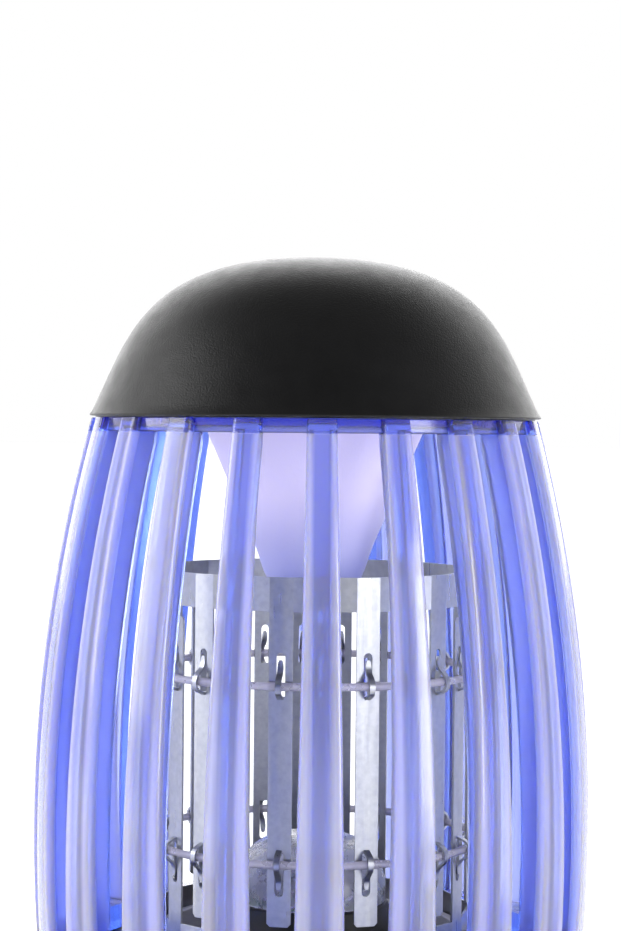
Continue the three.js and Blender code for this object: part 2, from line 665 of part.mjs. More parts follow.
const BOARD_TOP = BOARD_Z[1] + 2 * GAP;

const upperLead = () => lead([[-3, 14, BOARD_TOP], [-3, 12, 17], [-3, 4, 21], [-3, 3.4, 34],
  [-3, 3.8, 45.6], [-3.2, 7.6, 48.5], [-3.6, 22, 48.4], [-3.7, 32, 49], [-3.6, 34.4, 54],
  [-3.4, 35, 66]], 0.8, 20);

const lowerLead = () => lead([[4, 14, BOARD_TOP], [4, 12, 17], [3.4, 4, 21], [3.2, 3.4, 34],
  [3.2, 3.8, 45.6], [3.6, 7.6, 48.5], [5, 22, 48.4], [5.6, 31, 48.8], [5.8, 34.2, 52.4],
  [5.8, 34.6, 56.4]], 0.8, 20);

const lightLead = () => lead([[0, -12, BOARD_TOP], [0, -9, 16], [0, -3.6, 21], [0, -3.2, 36],
  [0, -1.4, 48], [0, 0, 54], [0, 0, LED_BOARD_Z[0] - GAP]], 1, 10);

const powerLead = () => lead([[0, 46 - GAP, INLET_Z], [0, 40, INLET_Z], [0, 33, 15],
  [2, 24, 18], [6, 19, 14], [6, 18, BOARD_TOP]], 1, 12);

const switchLead = () => lead([[46 - GAP, 0, INLET_Z], [42, 0, INLET_Z], [36, 0, 17],
  [30, -2, 16], [28.4, -3, BOARD_TOP]], 1, 11);

// ---------------------------------------------------------------- fasteners
// A pan-head screw, head down at z = 0, shank up.
function screw(headRadius, headHeight, shankRadius, length) {
  return turned([[0, 0], [headRadius, 0], [headRadius, headHeight], [shankRadius, headHeight],
    [shankRadius, length], [0, length]], 8);
}

// ---------------------------------------------------------------- assembly
const zapper = new THREE.Group();

function piece(name, body, material) {
  const mesh = new THREE.Mesh(geometryOf(body), material);
  mesh.name = name;
  zapper.add(mesh);
}

// Numbered copies of one piece on a circle, one in each direction.
function circleOf(name, turns, radius, z, body, material) {
  turns.forEach((turn, i) => {
    piece(`${name}_${i + 1}`, moved(body, ...around(turn, radius), z), material);
  });
}

piece('top_cap', topCap(), BLACK);
piece('reflector', reflector(), WHITE);
piece('guard', guard(), BLUE);
piece('upper_electrode', upperComb(), STEEL);
piece('lower_electrode', lowerComb(), STEEL);
piece('insulator_loop_upper', insulatorLoop(LOOP_Z), NYLON);
piece('insulator_loop_lower', insulatorLoop(2 * GRID_MIDDLE_Z - LOOP_Z), NYLON);
piece('grid_carrier', gridCarrier(), WHITE);
piece('base_deck', baseDeck(), BLACK);
piece('led_pod', ledPod(), BLACK);
piece('led_board', ledBoard(), BOARD_GREEN);
piece('led_lens', ledLens(), LENS_CLEAR);
for (let i = 0; i < LED_COUNT; i += 1) piece(`uv_led_${i + 1}`, led(i), LED_CLEAR);
piece('base_housing', baseHousing(), BLACK);
piece('insect_tray', insectTray(), BLACK);
piece('bottom_plate', bottomPlate(), BLACK);
piece('circuit_board', board(), BOARD_GREEN);
piece('transformer', transformer(), FERRITE);
for (let i = 0; i < 3; i += 1) piece(`film_capacitor_${i + 1}`, filmCapacitor(i), FILM);
piece('bleed_resistor', axialPart(1.4, 7, 6, -14), FILM);
piece('rectifier_diode_1', axialPart(1.2, 5, -8, -14), EPOXY);
piece('rectifier_diode_2', axialPart(1.2, 5, -14, -14), EPOXY);
piece('power_socket', powerSocket(), BLACK);
piece('switch_body', switchBody(), BLACK);
piece('switch_rocker', switchRocker(), BLACK);
piece('upper_electrode_lead', upperLead(), RED_SLEEVE);
piece('lower_electrode_lead', lowerLead(), BLACK);
piece('light_lead', lightLead(), BLACK);
piece('power_lead', powerLead(), BLACK);
piece('switch_lead', switchLead(), BLACK);

const capScrew = screw(3, 0.9, 1.1, 9);
circleOf('cap_screw', evenly(4, 45), CAP_BOSS_CIRCLE, GUARD_TOP_Z - GUARD_ROOF - GAP - 0.9, capScrew,
  SCREW_STEEL);

const reflectorScrew = screw(2.4, 1.4, 1.1, 3.4).rotate([180, 0, 0]);
circleOf('reflector_screw', evenly(3, 60), REFLECTOR_SCREW_CIRCLE,
  GUARD_TOP_Z + GAP + REFLECTOR_WALL + GAP + 1.4, reflectorScrew, SCREW_STEEL);

const guardScrew = screw(2.3, 1.4, 1.1, 8);
circleOf('guard_screw', GUARD_SCREW_TURNS, GUARD_SCREW_CIRCLE, DECK_Z[0] - GAP - 1.4, guardScrew,
  SCREW_STEEL);

const bottomScrew = screw(2.8, 1.6, 1.1, 13);
circleOf('bottom_screw', evenly(4, 45), BOTTOM_SCREW_CIRCLE, 1.3, bottomScrew, SCREW_STEEL);

const boardScrew = screw(2.2, 1.2, 0.85, 5).rotate([180, 0, 0]);
boardCorners().forEach(([x, y], i) => {
  piece(`board_screw_${i + 1}`, moved(boardScrew, x, y, BOARD_Z[1] + GAP + 1.2), SCREW_STEEL);
});

circleOf('rubber_foot', evenly(4), FOOT_CIRCLE, 0, rubberFoot(), RUBBER);

export default zapper;
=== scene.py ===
# The visual model of an electric bug zapper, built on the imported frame. Shapes are worked out
# in millimetres, and meshes are in metres: +Z up, the front at -Y, the switch at +X.
import json
import math

import bmesh
import bpy
from mathutils import Matrix, Vector


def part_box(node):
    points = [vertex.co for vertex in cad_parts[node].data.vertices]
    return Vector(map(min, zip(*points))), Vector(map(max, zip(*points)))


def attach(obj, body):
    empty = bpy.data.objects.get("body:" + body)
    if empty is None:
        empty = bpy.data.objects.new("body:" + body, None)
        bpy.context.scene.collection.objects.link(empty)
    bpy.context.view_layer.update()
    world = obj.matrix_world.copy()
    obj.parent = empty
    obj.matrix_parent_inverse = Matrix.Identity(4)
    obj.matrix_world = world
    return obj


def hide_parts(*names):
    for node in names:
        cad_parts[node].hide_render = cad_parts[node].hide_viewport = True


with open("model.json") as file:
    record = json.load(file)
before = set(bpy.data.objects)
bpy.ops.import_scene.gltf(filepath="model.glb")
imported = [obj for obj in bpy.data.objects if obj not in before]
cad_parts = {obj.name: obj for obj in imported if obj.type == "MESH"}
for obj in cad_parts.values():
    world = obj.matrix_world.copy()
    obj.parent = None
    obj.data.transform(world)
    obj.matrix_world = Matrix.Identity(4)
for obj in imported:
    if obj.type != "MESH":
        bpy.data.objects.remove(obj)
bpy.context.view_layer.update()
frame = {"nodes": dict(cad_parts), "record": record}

MM = 0.001


def low_high(node):
    """A CAD node's lowest and highest corner, in millimetres."""
    return [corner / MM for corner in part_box(node)]


# ---------------------------------------- sizes, in millimetres
cap_low, cap_high = low_high("top_cap")
guard_low, guard_high = low_high("guard")
reflector_low, reflector_high = low_high("reflector")
comb_high = low_high("upper_electrode")[1]
lower_comb_low = low_high("lower_electrode")[0]
housing_low, housing_high = low_high("base_housing")
deck_low, deck_high = low_high("base_deck")
plate_low, plate_high = low_high("bottom_plate")
tray_low, tray_high = low_high("insect_tray")
foot_low, foot_high = low_high("rubber_foot_1")
lens_low = low_high("led_lens")[0]
carrier_low, carrier_high = low_high("grid_carrier")
loop_low, loop_high = low_high("insulator_loop_upper")
board_low, board_high = low_high("led_board")
switch_low, switch_high = low_high("switch_body")
socket_low, socket_high = low_high("power_socket")

GAP = 0.3  # kept between pieces that touch
PAST = 1  # how far a cutter reaches past what it cuts
IN_FRONT = (-80, -20)  # in Y, from well before the front to well behind it
OUTWARD = (50, 70)  # across the base's wall
FINE = 160  # sides of the large round parts

# The barrel outline that the ribs and the base share: one arc in side view.
BARREL_RADIUS = guard_high.x
BARREL_WIDEST_Z = 78
BARREL_ARC = 360

# The cap: a dome whose curve is drawn by two pull points inside its edge and its top.
CAP_EDGE_Z = cap_low.z
CAP_EDGE_RADIUS = cap_high.x
HEIGHT = cap_high.z
CAP_WALL = 2
CAP_EDGE_CURVE = ((-0.35, 0), (-0.08, 0.12), (0, 0.4))  # the rounding of the edge
DOME_START = 0.8  # height over the edge
DOME_SHOULDER = (44.2, 17)  # radius, and height over the edge
DOME_CROWN_RADIUS = 42
CAP_SEAT = (47, 51.4)  # the ring under the dome that rests on the guard
CAP_SEAT_GAP = 0.02
CAP_POST_RADIUS = 3.6
CAP_POST_HOLE = 1.4

# The guard: T-shaped ribs, narrower and with thicker fins at the top.
RIB_COUNT = 20
RIB_WIDTHS = (11.4, 6.6)
FIN_WIDTHS = (2.3, 3.6)
RIB_FLANGE = 2.2
RIB_TAPER = 0.3
RIB_DEPTH = 8.2
RIB_STEPS = 44
RIB_ENDS = (2.5, 0.15)  # how far a rib stops short of the guard's foot and top
FIN_STRAIGHT_Z = 167.5  # over this height a fin's inner edge is upright
SKIRT_RADIUS = 50.8
SKIRT_WIDTH = 5.4
SKIRT_HEIGHT = 3.2
ROOF = 1.7
ROOF_HOLE = 33.5
ROOF_CAP_HOLE = 1.5
ROOF_REFLECTOR_HOLE = 1.3
GUARD_FOOT_HEIGHT = 5.7
GUARD_FOOT_WIDTH = 9.5
GUARD_FOOT_HOLE = 1.3
CAP_SCREW_CIRCLE = 42
REFLECTOR_SCREW_CIRCLE = 35.8
GUARD_SCREW_CIRCLE = 57
GUARD_SCREW_TURNS = (75, 135, 225, 285)
REFLECTOR_SCREW_TURNS = (60, 180, 300)

# The reflector.
CONE_RADIUS = 26.8
REFLECTOR_WALL = 1.6
REFLECTOR_HOLE = 1.6

# The shock grid: two stamped combs, the lower one upside down.
FINGER_COUNT = 12
FINGER_WIDTH = 5.4
GRID_RADIUS = 37.3
GRID_FACE = math.sqrt(GRID_RADIUS ** 2 - (FINGER_WIDTH / 2) ** 2)
SHEET = 0.5
GRID_MIDDLE_Z = (comb_high.z + lower_comb_low.z) / 2
COLLAR_HEIGHT = 7.6
FINGER_CLEARANCE = 2.4
UPPER_COMB_TURN = -12.6
SLOT_WIDTH = 2
SLOT_Z = (111.3, 120.9)
TONGUE_WIDTH = 1.3
TONGUE_TIP = (0.45, 0.75, 0.9, 0.97)  # parts of its width, from its free end on
LOOP_RADIUS = 1.0
LOOP_Z = (loop_low.z + loop_high.z) / 2
CARRIER_WALLS = ((33.6, 35.6), (38.3, 40.4))
CARRIER_FLOOR = 3.2

# The light and the base's housing.
LED_BOARD_RADIUS = 16
BASE_WALL = 2.2
BASE_FLOOR = (23, 25)
FLOOR_RADIUS = 59.6
COLUMN_RADIUS = 9.2
COLUMN_BORE = 7.2
LEDGE = (59.6, 61.9)  # the step that the deck lies on
LEDGE_FOOT_Z = 41.6
POST_RADIUS = 3.6
POST_HOLE = 1.4
BOTTOM_SCREW_CIRCLE = 49.5
SWITCH_HOLE = (7.9, 5.6)  # half its width, half its height
SOCKET_HOLE = (6.4, 5.6)
DOOR_GAP = 0.4

# The deck. Each row of windows has a count, two radii and half a window's angle.
DECK_WINDOWS = ((8, 41.6, 47.4, 16), (6, 23, 31.6, 22))
DECK_HOLE = 1.6

# The bottom plate and the feet.
PLATE_TOP_Z = 5.7
PLATE_RADIUS = 54.9
PLATE_HOLE = 1.7
VENT = (1.2, 12)  # half its width, half its length
STANDOFFS = ((-29, -18), (29, 18))
STANDOFF_RADII = (1.1, 2.6)
FOOT_CIRCLE = 42
FOOT_SEAT_RADIUS = 6.3

# The insect tray.
TRAY_PANEL_TOP = 43
TRAY_PANEL_RADIUS = 58
TRAY_RIM_Z = 41.5
TRAY_HALF_WIDTH = 48.5
TRAY_RADIUS = 58.6
TRAY_BACK_Y = 42
TRAY_SLOT_RADIUS = 10.8  # round the base's column
TRAY_WALL = 1.6
PULL = (59, 64.6)
PULL_Z = (36.6, 39)
PULL_HALF_WIDTH = 20

# The switch and the socket, which are at one height.
INLET_Z = (socket_low.z + socket_high.z) / 2
SWITCH_HALF_WIDTH = 7.6
SWITCH_WELL = (6.6, 3.7)
PIVOT_X = 56.4  # the rocker's pin, from the axis
PIN_RADII = (0.85, 1.15)  # the pin, and the hole that it turns in
ROCKER_HALF_HEIGHT = 3.3
ROCKER_REST = -8
SOCKET_BORE = 2.85
SOCKET_PIN = 1.0

# The screws.
SHANK_RADIUS = 1.05
RECESS_HALF_WIDTH = 0.28


# ---------------------------------------- shape helpers
def lerp(a, b, t):
    return a + (b - a) * t


def turn_to(degrees):
    """The rotation that takes the front to a direction counted towards the right."""
    return Matrix.Rotation(math.radians(degrees), 4, "Z")


def around(degrees, radius, z=0):
    return turn_to(degrees) @ Vector((0, -radius, z))


def evenly(count, start=0):
    return [start + i * 360 / count for i in range(count)]


CORNERS = evenly(4, 45)  # where the cap's and the base's screws are


def softened(corners, closed=True, steps=4):
    """An outline whose corners (x, y, trim) are rounded over the trim length either side."""
    outline = []
    count = len(corners)
    for i, (x, y, trim) in enumerate(corners):
        here = Vector((x, y))
        at_end = not closed and i in (0, count - 1)
        if trim == 0 or at_end:
            outline.append(here)
            continue
        before = Vector(corners[i - 1][:2]) - here
        after = Vector(corners[(i + 1) % count][:2]) - here
        start = before.normalized() * min(trim, before.length * 0.48)
        end = after.normalized() * min(trim, after.length * 0.48)
        for k in range(steps + 1):
            t = k / steps
            outline.append(here + start * (1 - t) ** 2 + end * t ** 2)
    return outline


def mesh_of(points, faces):
    """A closed mesh in metres, with its normals outwards."""
    mesh = bpy.data.meshes.new("shape")
    mesh.from_pydata([Vector(p) * MM for p in points], [], faces)
    form = bmesh.new()
    form.from_mesh(mesh)
    bmesh.ops.remove_doubles(form, verts=form.verts, dist=1e-7)
    bmesh.ops.recalc_face_normals(form, faces=form.faces)
    form.to_mesh(mesh)
    form.free()
    return mesh


def turned(outline, sides=96):
    """An outline of (radius, z) points turned about Z. It is closed round on itself unless
    both its ends are on the axis."""
    points, faces, rings = [], [], []
    for radius, z in outline:
        first = len(points)
        if radius < 1e-6:
            points.append((0, 0, z))
            rings.append([first] * sides)
        else:
            points += [around(turn, radius, z) for turn in evenly(sides)]
            rings.append(list(range(first, first + sides)))
    on_axis = outline[0][0] < 1e-6 and outline[-1][0] < 1e-6
    following = rings[1:] if on_axis else rings[1:] + rings[:1]
    for ring, after in zip(rings, following):
        for i in range(sides):
            j = (i + 1) % sides
            corners = [ring[i], ring[j], after[j], after[i]]
            face = list(dict.fromkeys(corners))
            if len(face) > 2:
                faces.append(face)
    return mesh_of(points, faces)


def lofted(rings):
    """A solid through closed rings of points, with a flat face at each end."""
    size = len(rings[0])
    points = [p for ring in rings for p in ring]
    faces = [list(range(size)), list(range(len(points) - size, len(points)))]
    for k in range(len(rings) - 1):
        for i in range(size):
            j = (i + 1) % size
            faces.append([k * size + i, k * size + j, (k + 1) * size + j, (k + 1) * size + i])
    return mesh_of(points, faces)


def disc(radius, z_range, sides=48, trim=0):
    low, high = z_range
    corners = [(0, low, 0), (radius, low, trim), (radius, high, trim), (0, high, 0)]
    return turned(softened(corners, closed=False), sides)


def tube(inner, outer, z_range, sides=96, trim=0):
    low, high = z_range
    corners = [(inner, low, trim), (outer, low, trim), (outer, high, trim), (inner, high, trim)]
    return turned(softened(corners), sides)


def prism(outline, z_range):
    """A flat outline in X and Y between two heights."""
    return lofted([[(x, y, z) for x, y in outline] for z in z_range])


def block(x_range, y_range, z_range, trim=0):
    x0, x1 = x_range
    y0, y1 = y_range
    corners = [(x0, y0, trim), (x1, y0, trim), (x1, y1, trim), (x0, y1, trim)]
    return prism(softened(corners), z_range)


def moved(mesh, matrix):
    copy = mesh.copy()
    copy.transform(matrix)
    return copy


def shifted(mesh, x, y, z=0):
    return moved(mesh, Matrix.Translation(Vector((x, y, z)) * MM))


def copies(mesh, turns):
    return [moved(mesh, turn_to(turn)) for turn in turns]


def ring_of(mesh, radius, turns):
    return copies(shifted(mesh, 0, -radius), turns)


def merged(meshes):
    """Several meshes that don't touch, as one mesh."""
    form = bmesh.new()
    for mesh in meshes:
        form.from_mesh(mesh)
    whole = bpy.data.meshes.new("shape")
    form.to_mesh(whole)
    form.free()
    return whole


def loose_object(mesh):
    thing = bpy.data.objects.new("tool", mesh)
    bpy.context.scene.collection.objects.link(thing)
    return thing


def evaluated(thing):
    """The mesh that an object has after its modifiers, with the object taken away."""
    graph = bpy.context.evaluated_depsgraph_get()
    mesh = bpy.data.meshes.new_from_object(thing.evaluated_get(graph))
    bpy.data.objects.remove(thing)
    return mesh


def combined(mesh, tools, operation):
    """A solid joined with, cut by or held inside others, one after another."""
    base = loose_object(mesh)
    helpers = [loose_object(tool) for tool in tools]
    for helper in helpers:
        step = base.modifiers.new("step", "BOOLEAN")
        step.operation = operation
        step.solver = "EXACT"
        step.object = helper
    result = evaluated(base)
    for helper in helpers:
        bpy.data.objects.remove(helper)
    return result


def joined(mesh, *others):
    return combined(mesh, others, "UNION")


def cut(mesh, *tools):
    return combined(mesh, tools, "DIFFERENCE")


def inside(mesh, *tools):
    return combined(mesh, tools, "INTERSECT")


def bevel_edges(thing, width, angle):
    bevel = thing.modifiers.new("edges", "BEVEL")
    bevel.width = width * MM
    bevel.segments = 2
    bevel.limit_method = "ANGLE"
    bevel.angle_limit = math.radians(angle)
    return bevel


def smooth(mesh, angle):
    mesh.shade_smooth()
    mesh.set_sharp_from_angle(angle=math.radians(angle))
    return mesh


# ---------------------------------------- material helpers
def calculate(tree, operation, *values):
    """A maths node's result. Each value is a number or another node's output."""
    node = tree.nodes.new("ShaderNodeMath")
    node.operation = operation
    for socket, value in zip(node.inputs, values):
        if isinstance(value, (int, float)):
            socket.default_value = value
        else:
            tree.links.new(value, socket)
    return node.outputs["Value"]


def ranged(tree, source, from_range, to_range=(0, 1)):
    """A node that takes a value from one range to another, without going past either end."""
    node = tree.nodes.new("ShaderNodeMapRange")
    names = ("From Min", "From Max", "To Min", "To Max")
    for name, value in zip(names, (*from_range, *to_range)):
        node.inputs[name].default_value = value
    tree.links.new(source, node.inputs["Value"])
    return node


def axes_of(tree, space):
    """The X, Y and Z of a place or direction, as a node's outputs."""
    place = tree.nodes.new("ShaderNodeTexCoord")
    axes = tree.nodes.new("ShaderNodeSeparateXYZ")
    tree.links.new(place.outputs[space], axes.inputs["Vector"])
    return axes.outputs


def principled(name, metallic=0.0):
    material = bpy.data.materials.new(name)
    material.use_nodes = True
    shader = material.node_tree.nodes["Principled BSDF"]
    shader.inputs["Metallic"].default_value = metallic
    return material, shader


def plain_color(shader, color):
    shader.inputs["Base Color"].default_value = (*color, 1)


def noise(material, scale, detail=3, stretch=(1, 1, 1)):
    """Noise in the object's own space; scale is in cells to the metre."""
    tree = material.node_tree
    place = tree.nodes.new("ShaderNodeTexCoord")
    mapping = tree.nodes.new("ShaderNodeMapping")
    mapping.inputs["Scale"].default_value = stretch
    texture = tree.nodes.new("ShaderNodeTexNoise")
    texture.inputs["Scale"].default_value = scale
    texture.inputs["Detail"].default_value = detail
    tree.links.new(place.outputs["Object"], mapping.inputs["Vector"])
    tree.links.new(mapping.outputs["Vector"], texture.inputs["Vector"])
    return texture.outputs["Fac"]


def fill_ramp(ramp, stops):
    """Gives a colour ramp its stops, each a position and a colour, in rising order."""
    elements = ramp.color_ramp.elements
    for _ in stops[2:]:
        elements.new(0.5)
    for element, (position, color) in zip(elements, stops):
        element.position = position
        element.color = (*color, 1)


def vary_color(material, shader, source, dark, light):
    """Runs the base colour between two colours over a noise or a height."""
    tree = material.node_tree
    ramp = tree.nodes.new("ShaderNodeValToRGB")
    fill_ramp(ramp, ((0.3, dark), (0.7, light)))
    tree.links.new(source, ramp.inputs["Fac"])
    tree.links.new(ramp.outputs["Color"], shader.inputs["Base Color"])


def vary_roughness(material, shader, source, low, high):
    tree = material.node_tree
    spread = ranged(tree, source, (0.3, 0.7), (low, high))
    tree.links.new(spread.outputs["Result"], shader.inputs["Roughness"])


def bumped(material, shader, source, depth):
    """Raises the surface by a noise; depth is in metres."""
    tree = material.node_tree
    bump = tree.nodes.new("ShaderNodeBump")
    bump.inputs["Distance"].default_value = depth
    tree.links.new(source, bump.inputs["Height"])
    tree.links.new(bump.outputs["Normal"], shader.inputs["Normal"])


def shade(color, factor):
    return tuple(channel * factor for channel in color)


def moulded(name, color, roughness, grain, depth, spread=0.12):
    """Moulded plastic: slightly uneven colour and gloss, and a fine grain, in cells to the
    metre and metres deep."""
    material, shader = principled(name)
    vary_color(material, shader, noise(material, 90), shade(color, 1 - spread),
               shade(color, 1 + spread))
    vary_roughness(material, shader, noise(material, 260), roughness - 0.04, roughness + 0.04)
    bumped(material, shader, noise(material, grain, detail=2), depth)
    return material, shader


# ---------------------------------------- materials
def black_cap():
    material, shader = moulded("black_cap", (0.003, 0.003, 0.0032), 0.4, 2600, 0.00009, 0.2)
    shader.inputs["Specular IOR Level"].default_value = 0.2
    shader.inputs["Sheen Weight"].default_value = 0.5
    shader.inputs["Sheen Roughness"].default_value = 0.2
    return material


def black_base():
    return moulded("black_base", (0.010, 0.010, 0.011), 0.48, 2600, 0.00005, 0.2)[0]


def across_ribs(material):
    """0 on each rib's middle line, and 1 half-way to the next rib and in the skirt."""
    tree = material.node_tree
    axes = axes_of(tree, "Object")
    turn = calculate(tree, "ARCTAN2", axes["Y"], axes["X"])
    ribs = calculate(tree, "MULTIPLY", turn, RIB_COUNT / math.pi)
    between = calculate(tree, "PINGPONG", ribs, 1)
    skirt_foot = guard_high.z - SKIRT_HEIGHT
    skirt = ranged(tree, axes["Z"], ((skirt_foot - 0.3) * MM, skirt_foot * MM))
    return calculate(tree, "MAXIMUM", between, skirt.outputs["Result"])


# How clear the guard is, by the place across a rib that across_ribs gives.
CLEARNESS = ((0.17, 0.87), (0.3, 0.73), (0.5, 0.73), (0.64, 0.94))


def blue_guard():
    """Tinted plastic: clear and deep blue in the fins' roots and the rings, and milky in the
    thin edges of the ribs."""
    material, shader = principled("blue_guard")
    shader.inputs["IOR"].default_value = 1.5
    shader.inputs["Subsurface Weight"].default_value = 1.0
    shader.inputs["Subsurface Radius"].default_value = (0.003, 0.0035, 0.009)
    shader.inputs["Subsurface Scale"].default_value = 1.0
    clouds = noise(material, 70, stretch=(1, 1, 0.2))
    vary_color(material, shader, clouds, (0.70, 0.68, 1.0), (0.78, 0.75, 1.0))
    vary_roughness(material, shader, noise(material, 180), 0.13, 0.17)
    bumped(material, shader, noise(material, 130, stretch=(1, 1, 0.15)), 0.00008)
    tree = material.node_tree
    clearness = tree.nodes.new("ShaderNodeValToRGB")
    fill_ramp(clearness, [(position, (value,) * 3) for position, value in CLEARNESS])
    tree.links.new(across_ribs(material), clearness.inputs["Fac"])
    tree.links.new(clearness.outputs["Color"], shader.inputs["Transmission Weight"])
    volume = tree.nodes.new("ShaderNodeVolumeAbsorption")
    volume.inputs["Color"].default_value = (0.02, 0.35, 0.90, 1)
    volume.inputs["Density"].default_value = 230
    output = tree.nodes["Material Output"]
    tree.links.new(volume.outputs["Volume"], output.inputs["Volume"])
    return material


def white_reflector():
    """White plastic with a painted tint of blue light and painted shade, strongest near its tip.
    """
    material, shader = principled("white_reflector")
    vary_roughness(material, shader, noise(material, 260), 0.46, 0.54)
    bumped(material, shader, noise(material, 900, detail=2), 0.00004)
    tree = material.node_tree
    # The base colour runs from deep blue at the tip to a lighter lavender higher up: painted light
    # and shade, not the plastic's own colour.
    painted_tint_heights = ((reflector_low.z - 8) * MM, (reflector_high.z - 6) * MM)
    height = ranged(tree, axes_of(tree, "Object")["Z"], painted_tint_heights)
    vary_color(material, shader, height.outputs["Result"], (0.47, 0.49, 0.88), (0.72, 0.66, 0.89))
    shader.inputs["Subsurface Weight"].default_value = 0.15
    shader.inputs["Subsurface Radius"].default_value = (0.002, 0.002, 0.003)
    shader.inputs["Specular IOR Level"].default_value = 0.15
    return material


def grid_steel():
    material, shader = principled("grid_steel", metallic=1.0)
    rolled = noise(material, 900, detail=4, stretch=(1, 1, 0.06))
    cloudy = noise(material, 700, detail=4)
    vary_color(material, shader, cloudy, (0.35, 0.36, 0.39), (0.42, 0.43, 0.45))
    vary_roughness(material, shader, rolled, 0.27, 0.4)
    bumped(material, shader, rolled, 0.00002)
    return material


def insulator_nylon():
    material, shader = moulded("insulator_nylon", (0.58, 0.56, 0.66), 0.3, 1500, 0.00004, 0.08)
    shader.inputs["Transmission Weight"].default_value = 0.5
    return material


def white_insulator():
    return moulded("white_insulator", (0.78, 0.78, 0.80), 0.42, 1200, 0.00003, 0.04)[0]


def clear_lens():
    material, shader = principled("clear_lens")
    plain_color(shader, (0.86, 0.87, 0.95))
    shader.inputs["Transmission Weight"].default_value = 0.9
    shader.inputs["IOR"].default_value = 1.49
    vary_roughness(material, shader, noise(material, 300), 0.22, 0.34)
    bumped(material, shader, noise(material, 700), 0.00005)
    return material


def clear_led():
    material, shader = principled("clear_led")
    plain_color(shader, (0.80, 0.74, 0.97))
    shader.inputs["Transmission Weight"].default_value = 0.85
    vary_roughness(material, shader, noise(material, 500), 0.05, 0.12)
    return material


def board_green():
    """Solder mask over copper tracks, which show as a lighter pattern."""
    material, shader = principled("board_green")
    tree = material.node_tree
    place = tree.nodes.new("ShaderNodeTexCoord")
    tracks = tree.nodes.new("ShaderNodeTexBrick")
    tracks.inputs["Scale"].default_value = 260
    tracks.inputs["Mortar Size"].default_value = 0.06
    tracks.inputs["Color1"].default_value = (0.02, 0.13, 0.05, 1)
    tracks.inputs["Color2"].default_value = (0.024, 0.15, 0.06, 1)
    tracks.inputs["Mortar"].default_value = (0.06, 0.30, 0.12, 1)
    tree.links.new(place.outputs["Object"], tracks.inputs["Vector"])
    tree.links.new(tracks.outputs["Color"], shader.inputs["Base Color"])
    vary_roughness(material, shader, noise(material, 400), 0.28, 0.45)
    return material


def dark_ferrite():
    return moulded("dark_ferrite", (0.04, 0.038, 0.035), 0.65, 1800, 0.00008, 0.25)[0]


def brown_film():
    return moulded("brown_film", (0.25, 0.07, 0.02), 0.28, 500, 0.00008, 0.15)[0]


def dark_epoxy():
    return moulded("dark_epoxy", (0.015, 0.015, 0.016), 0.35, 1500, 0.00004, 0.2)[0]


def sleeve(name, color):
    return moulded(name, color, 0.35, 1100, 0.00005, 0.12)[0]


def screw_steel():
    material, shader = principled("screw_steel", metallic=1.0)
    vary_color(material, shader, noise(material, 700), (0.40, 0.40, 0.41), (0.58, 0.58, 0.59))
    vary_roughness(material, shader, noise(material, 1500), 0.24, 0.42)
    bumped(material, shader, noise(material, 2500), 0.00002)
    return material


def black_rubber():
    return moulded("black_rubber", (0.02, 0.02, 0.02), 0.8, 1500, 0.0001, 0.25)[0]


MATERIALS = {
    "black_cap": black_cap(),
    "black_base": black_base(),
    "blue_guard": blue_guard(),
    "white_reflector": white_reflector(),
    "grid_steel": grid_steel(),
    "insulator_nylon": insulator_nylon(),
    "white_insulator": white_insulator(),
    "clear_lens": clear_lens(),
    "clear_led": clear_led(),
    "board_green": board_green(),
    "dark_ferrite": dark_ferrite(),
    "brown_film": brown_film(),
    "dark_epoxy": dark_epoxy(),
    "red_sleeve": sleeve("red_sleeve", (0.42, 0.02, 0.02)),
    "black_sleeve": sleeve("black_sleeve", (0.015, 0.015, 0.016)),
    "screw_steel": screw_steel(),
    "black_rubber": black_rubber(),
}
NODE_SLOTS = {row["node"]: row["material_slot"] for row in frame["record"]["subparts"]}


def show(node, mesh, angle=30, edge=0.0, body="lamp"):
    """Puts a detailed piece in place of a CAD node, with the node's finish."""
    piece = bpy.data.objects.new(f"visible_{node}", smooth(mesh, angle))
    bpy.context.scene.collection.objects.link(piece)
    piece.data.materials.clear()
    piece.data.materials.append(MATERIALS[NODE_SLOTS[node]])
    if edge:
        bevel_edges(piece, edge, 40).harden_normals = True
    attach(piece, body)
    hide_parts(node)
    return piece


# ---------------------------------------- shared outlines
def barrel_radius(z):
    off = z - BARREL_WIDEST_Z
    return BARREL_RADIUS - BARREL_ARC + math.sqrt(BARREL_ARC ** 2 - off ** 2)


def barrel_line(z_range, inset, steps=16):
    """Points up the barrel between two heights, moved in by an inset."""
    heights = [lerp(*z_range, i / steps) for i in range(steps + 1)]
    return [(barrel_radius(z) - inset, z) for z in heights]


def cap_outline(inset, steps=40):
    """The dome from its lower edge to its top: one Bezier curve."""
    top = HEIGHT - inset
    controls = [Vector((CAP_EDGE_RADIUS - inset, CAP_EDGE_Z)),
                Vector((DOME_SHOULDER[0] - inset, CAP_EDGE_Z + DOME_SHOULDER[1])),
                Vector((DOME_CROWN_RADIUS - inset, top)), Vector((0, top))]
    line = []
    for i in range(steps + 1):
        t = i / steps
        weights = [(1 - t) ** 3, 3 * t * (1 - t) ** 2, 3 * t * t * (1 - t), t ** 3]
        line.append(sum((c * w for c, w in zip(controls, weights)), Vector((0, 0))))
    return line


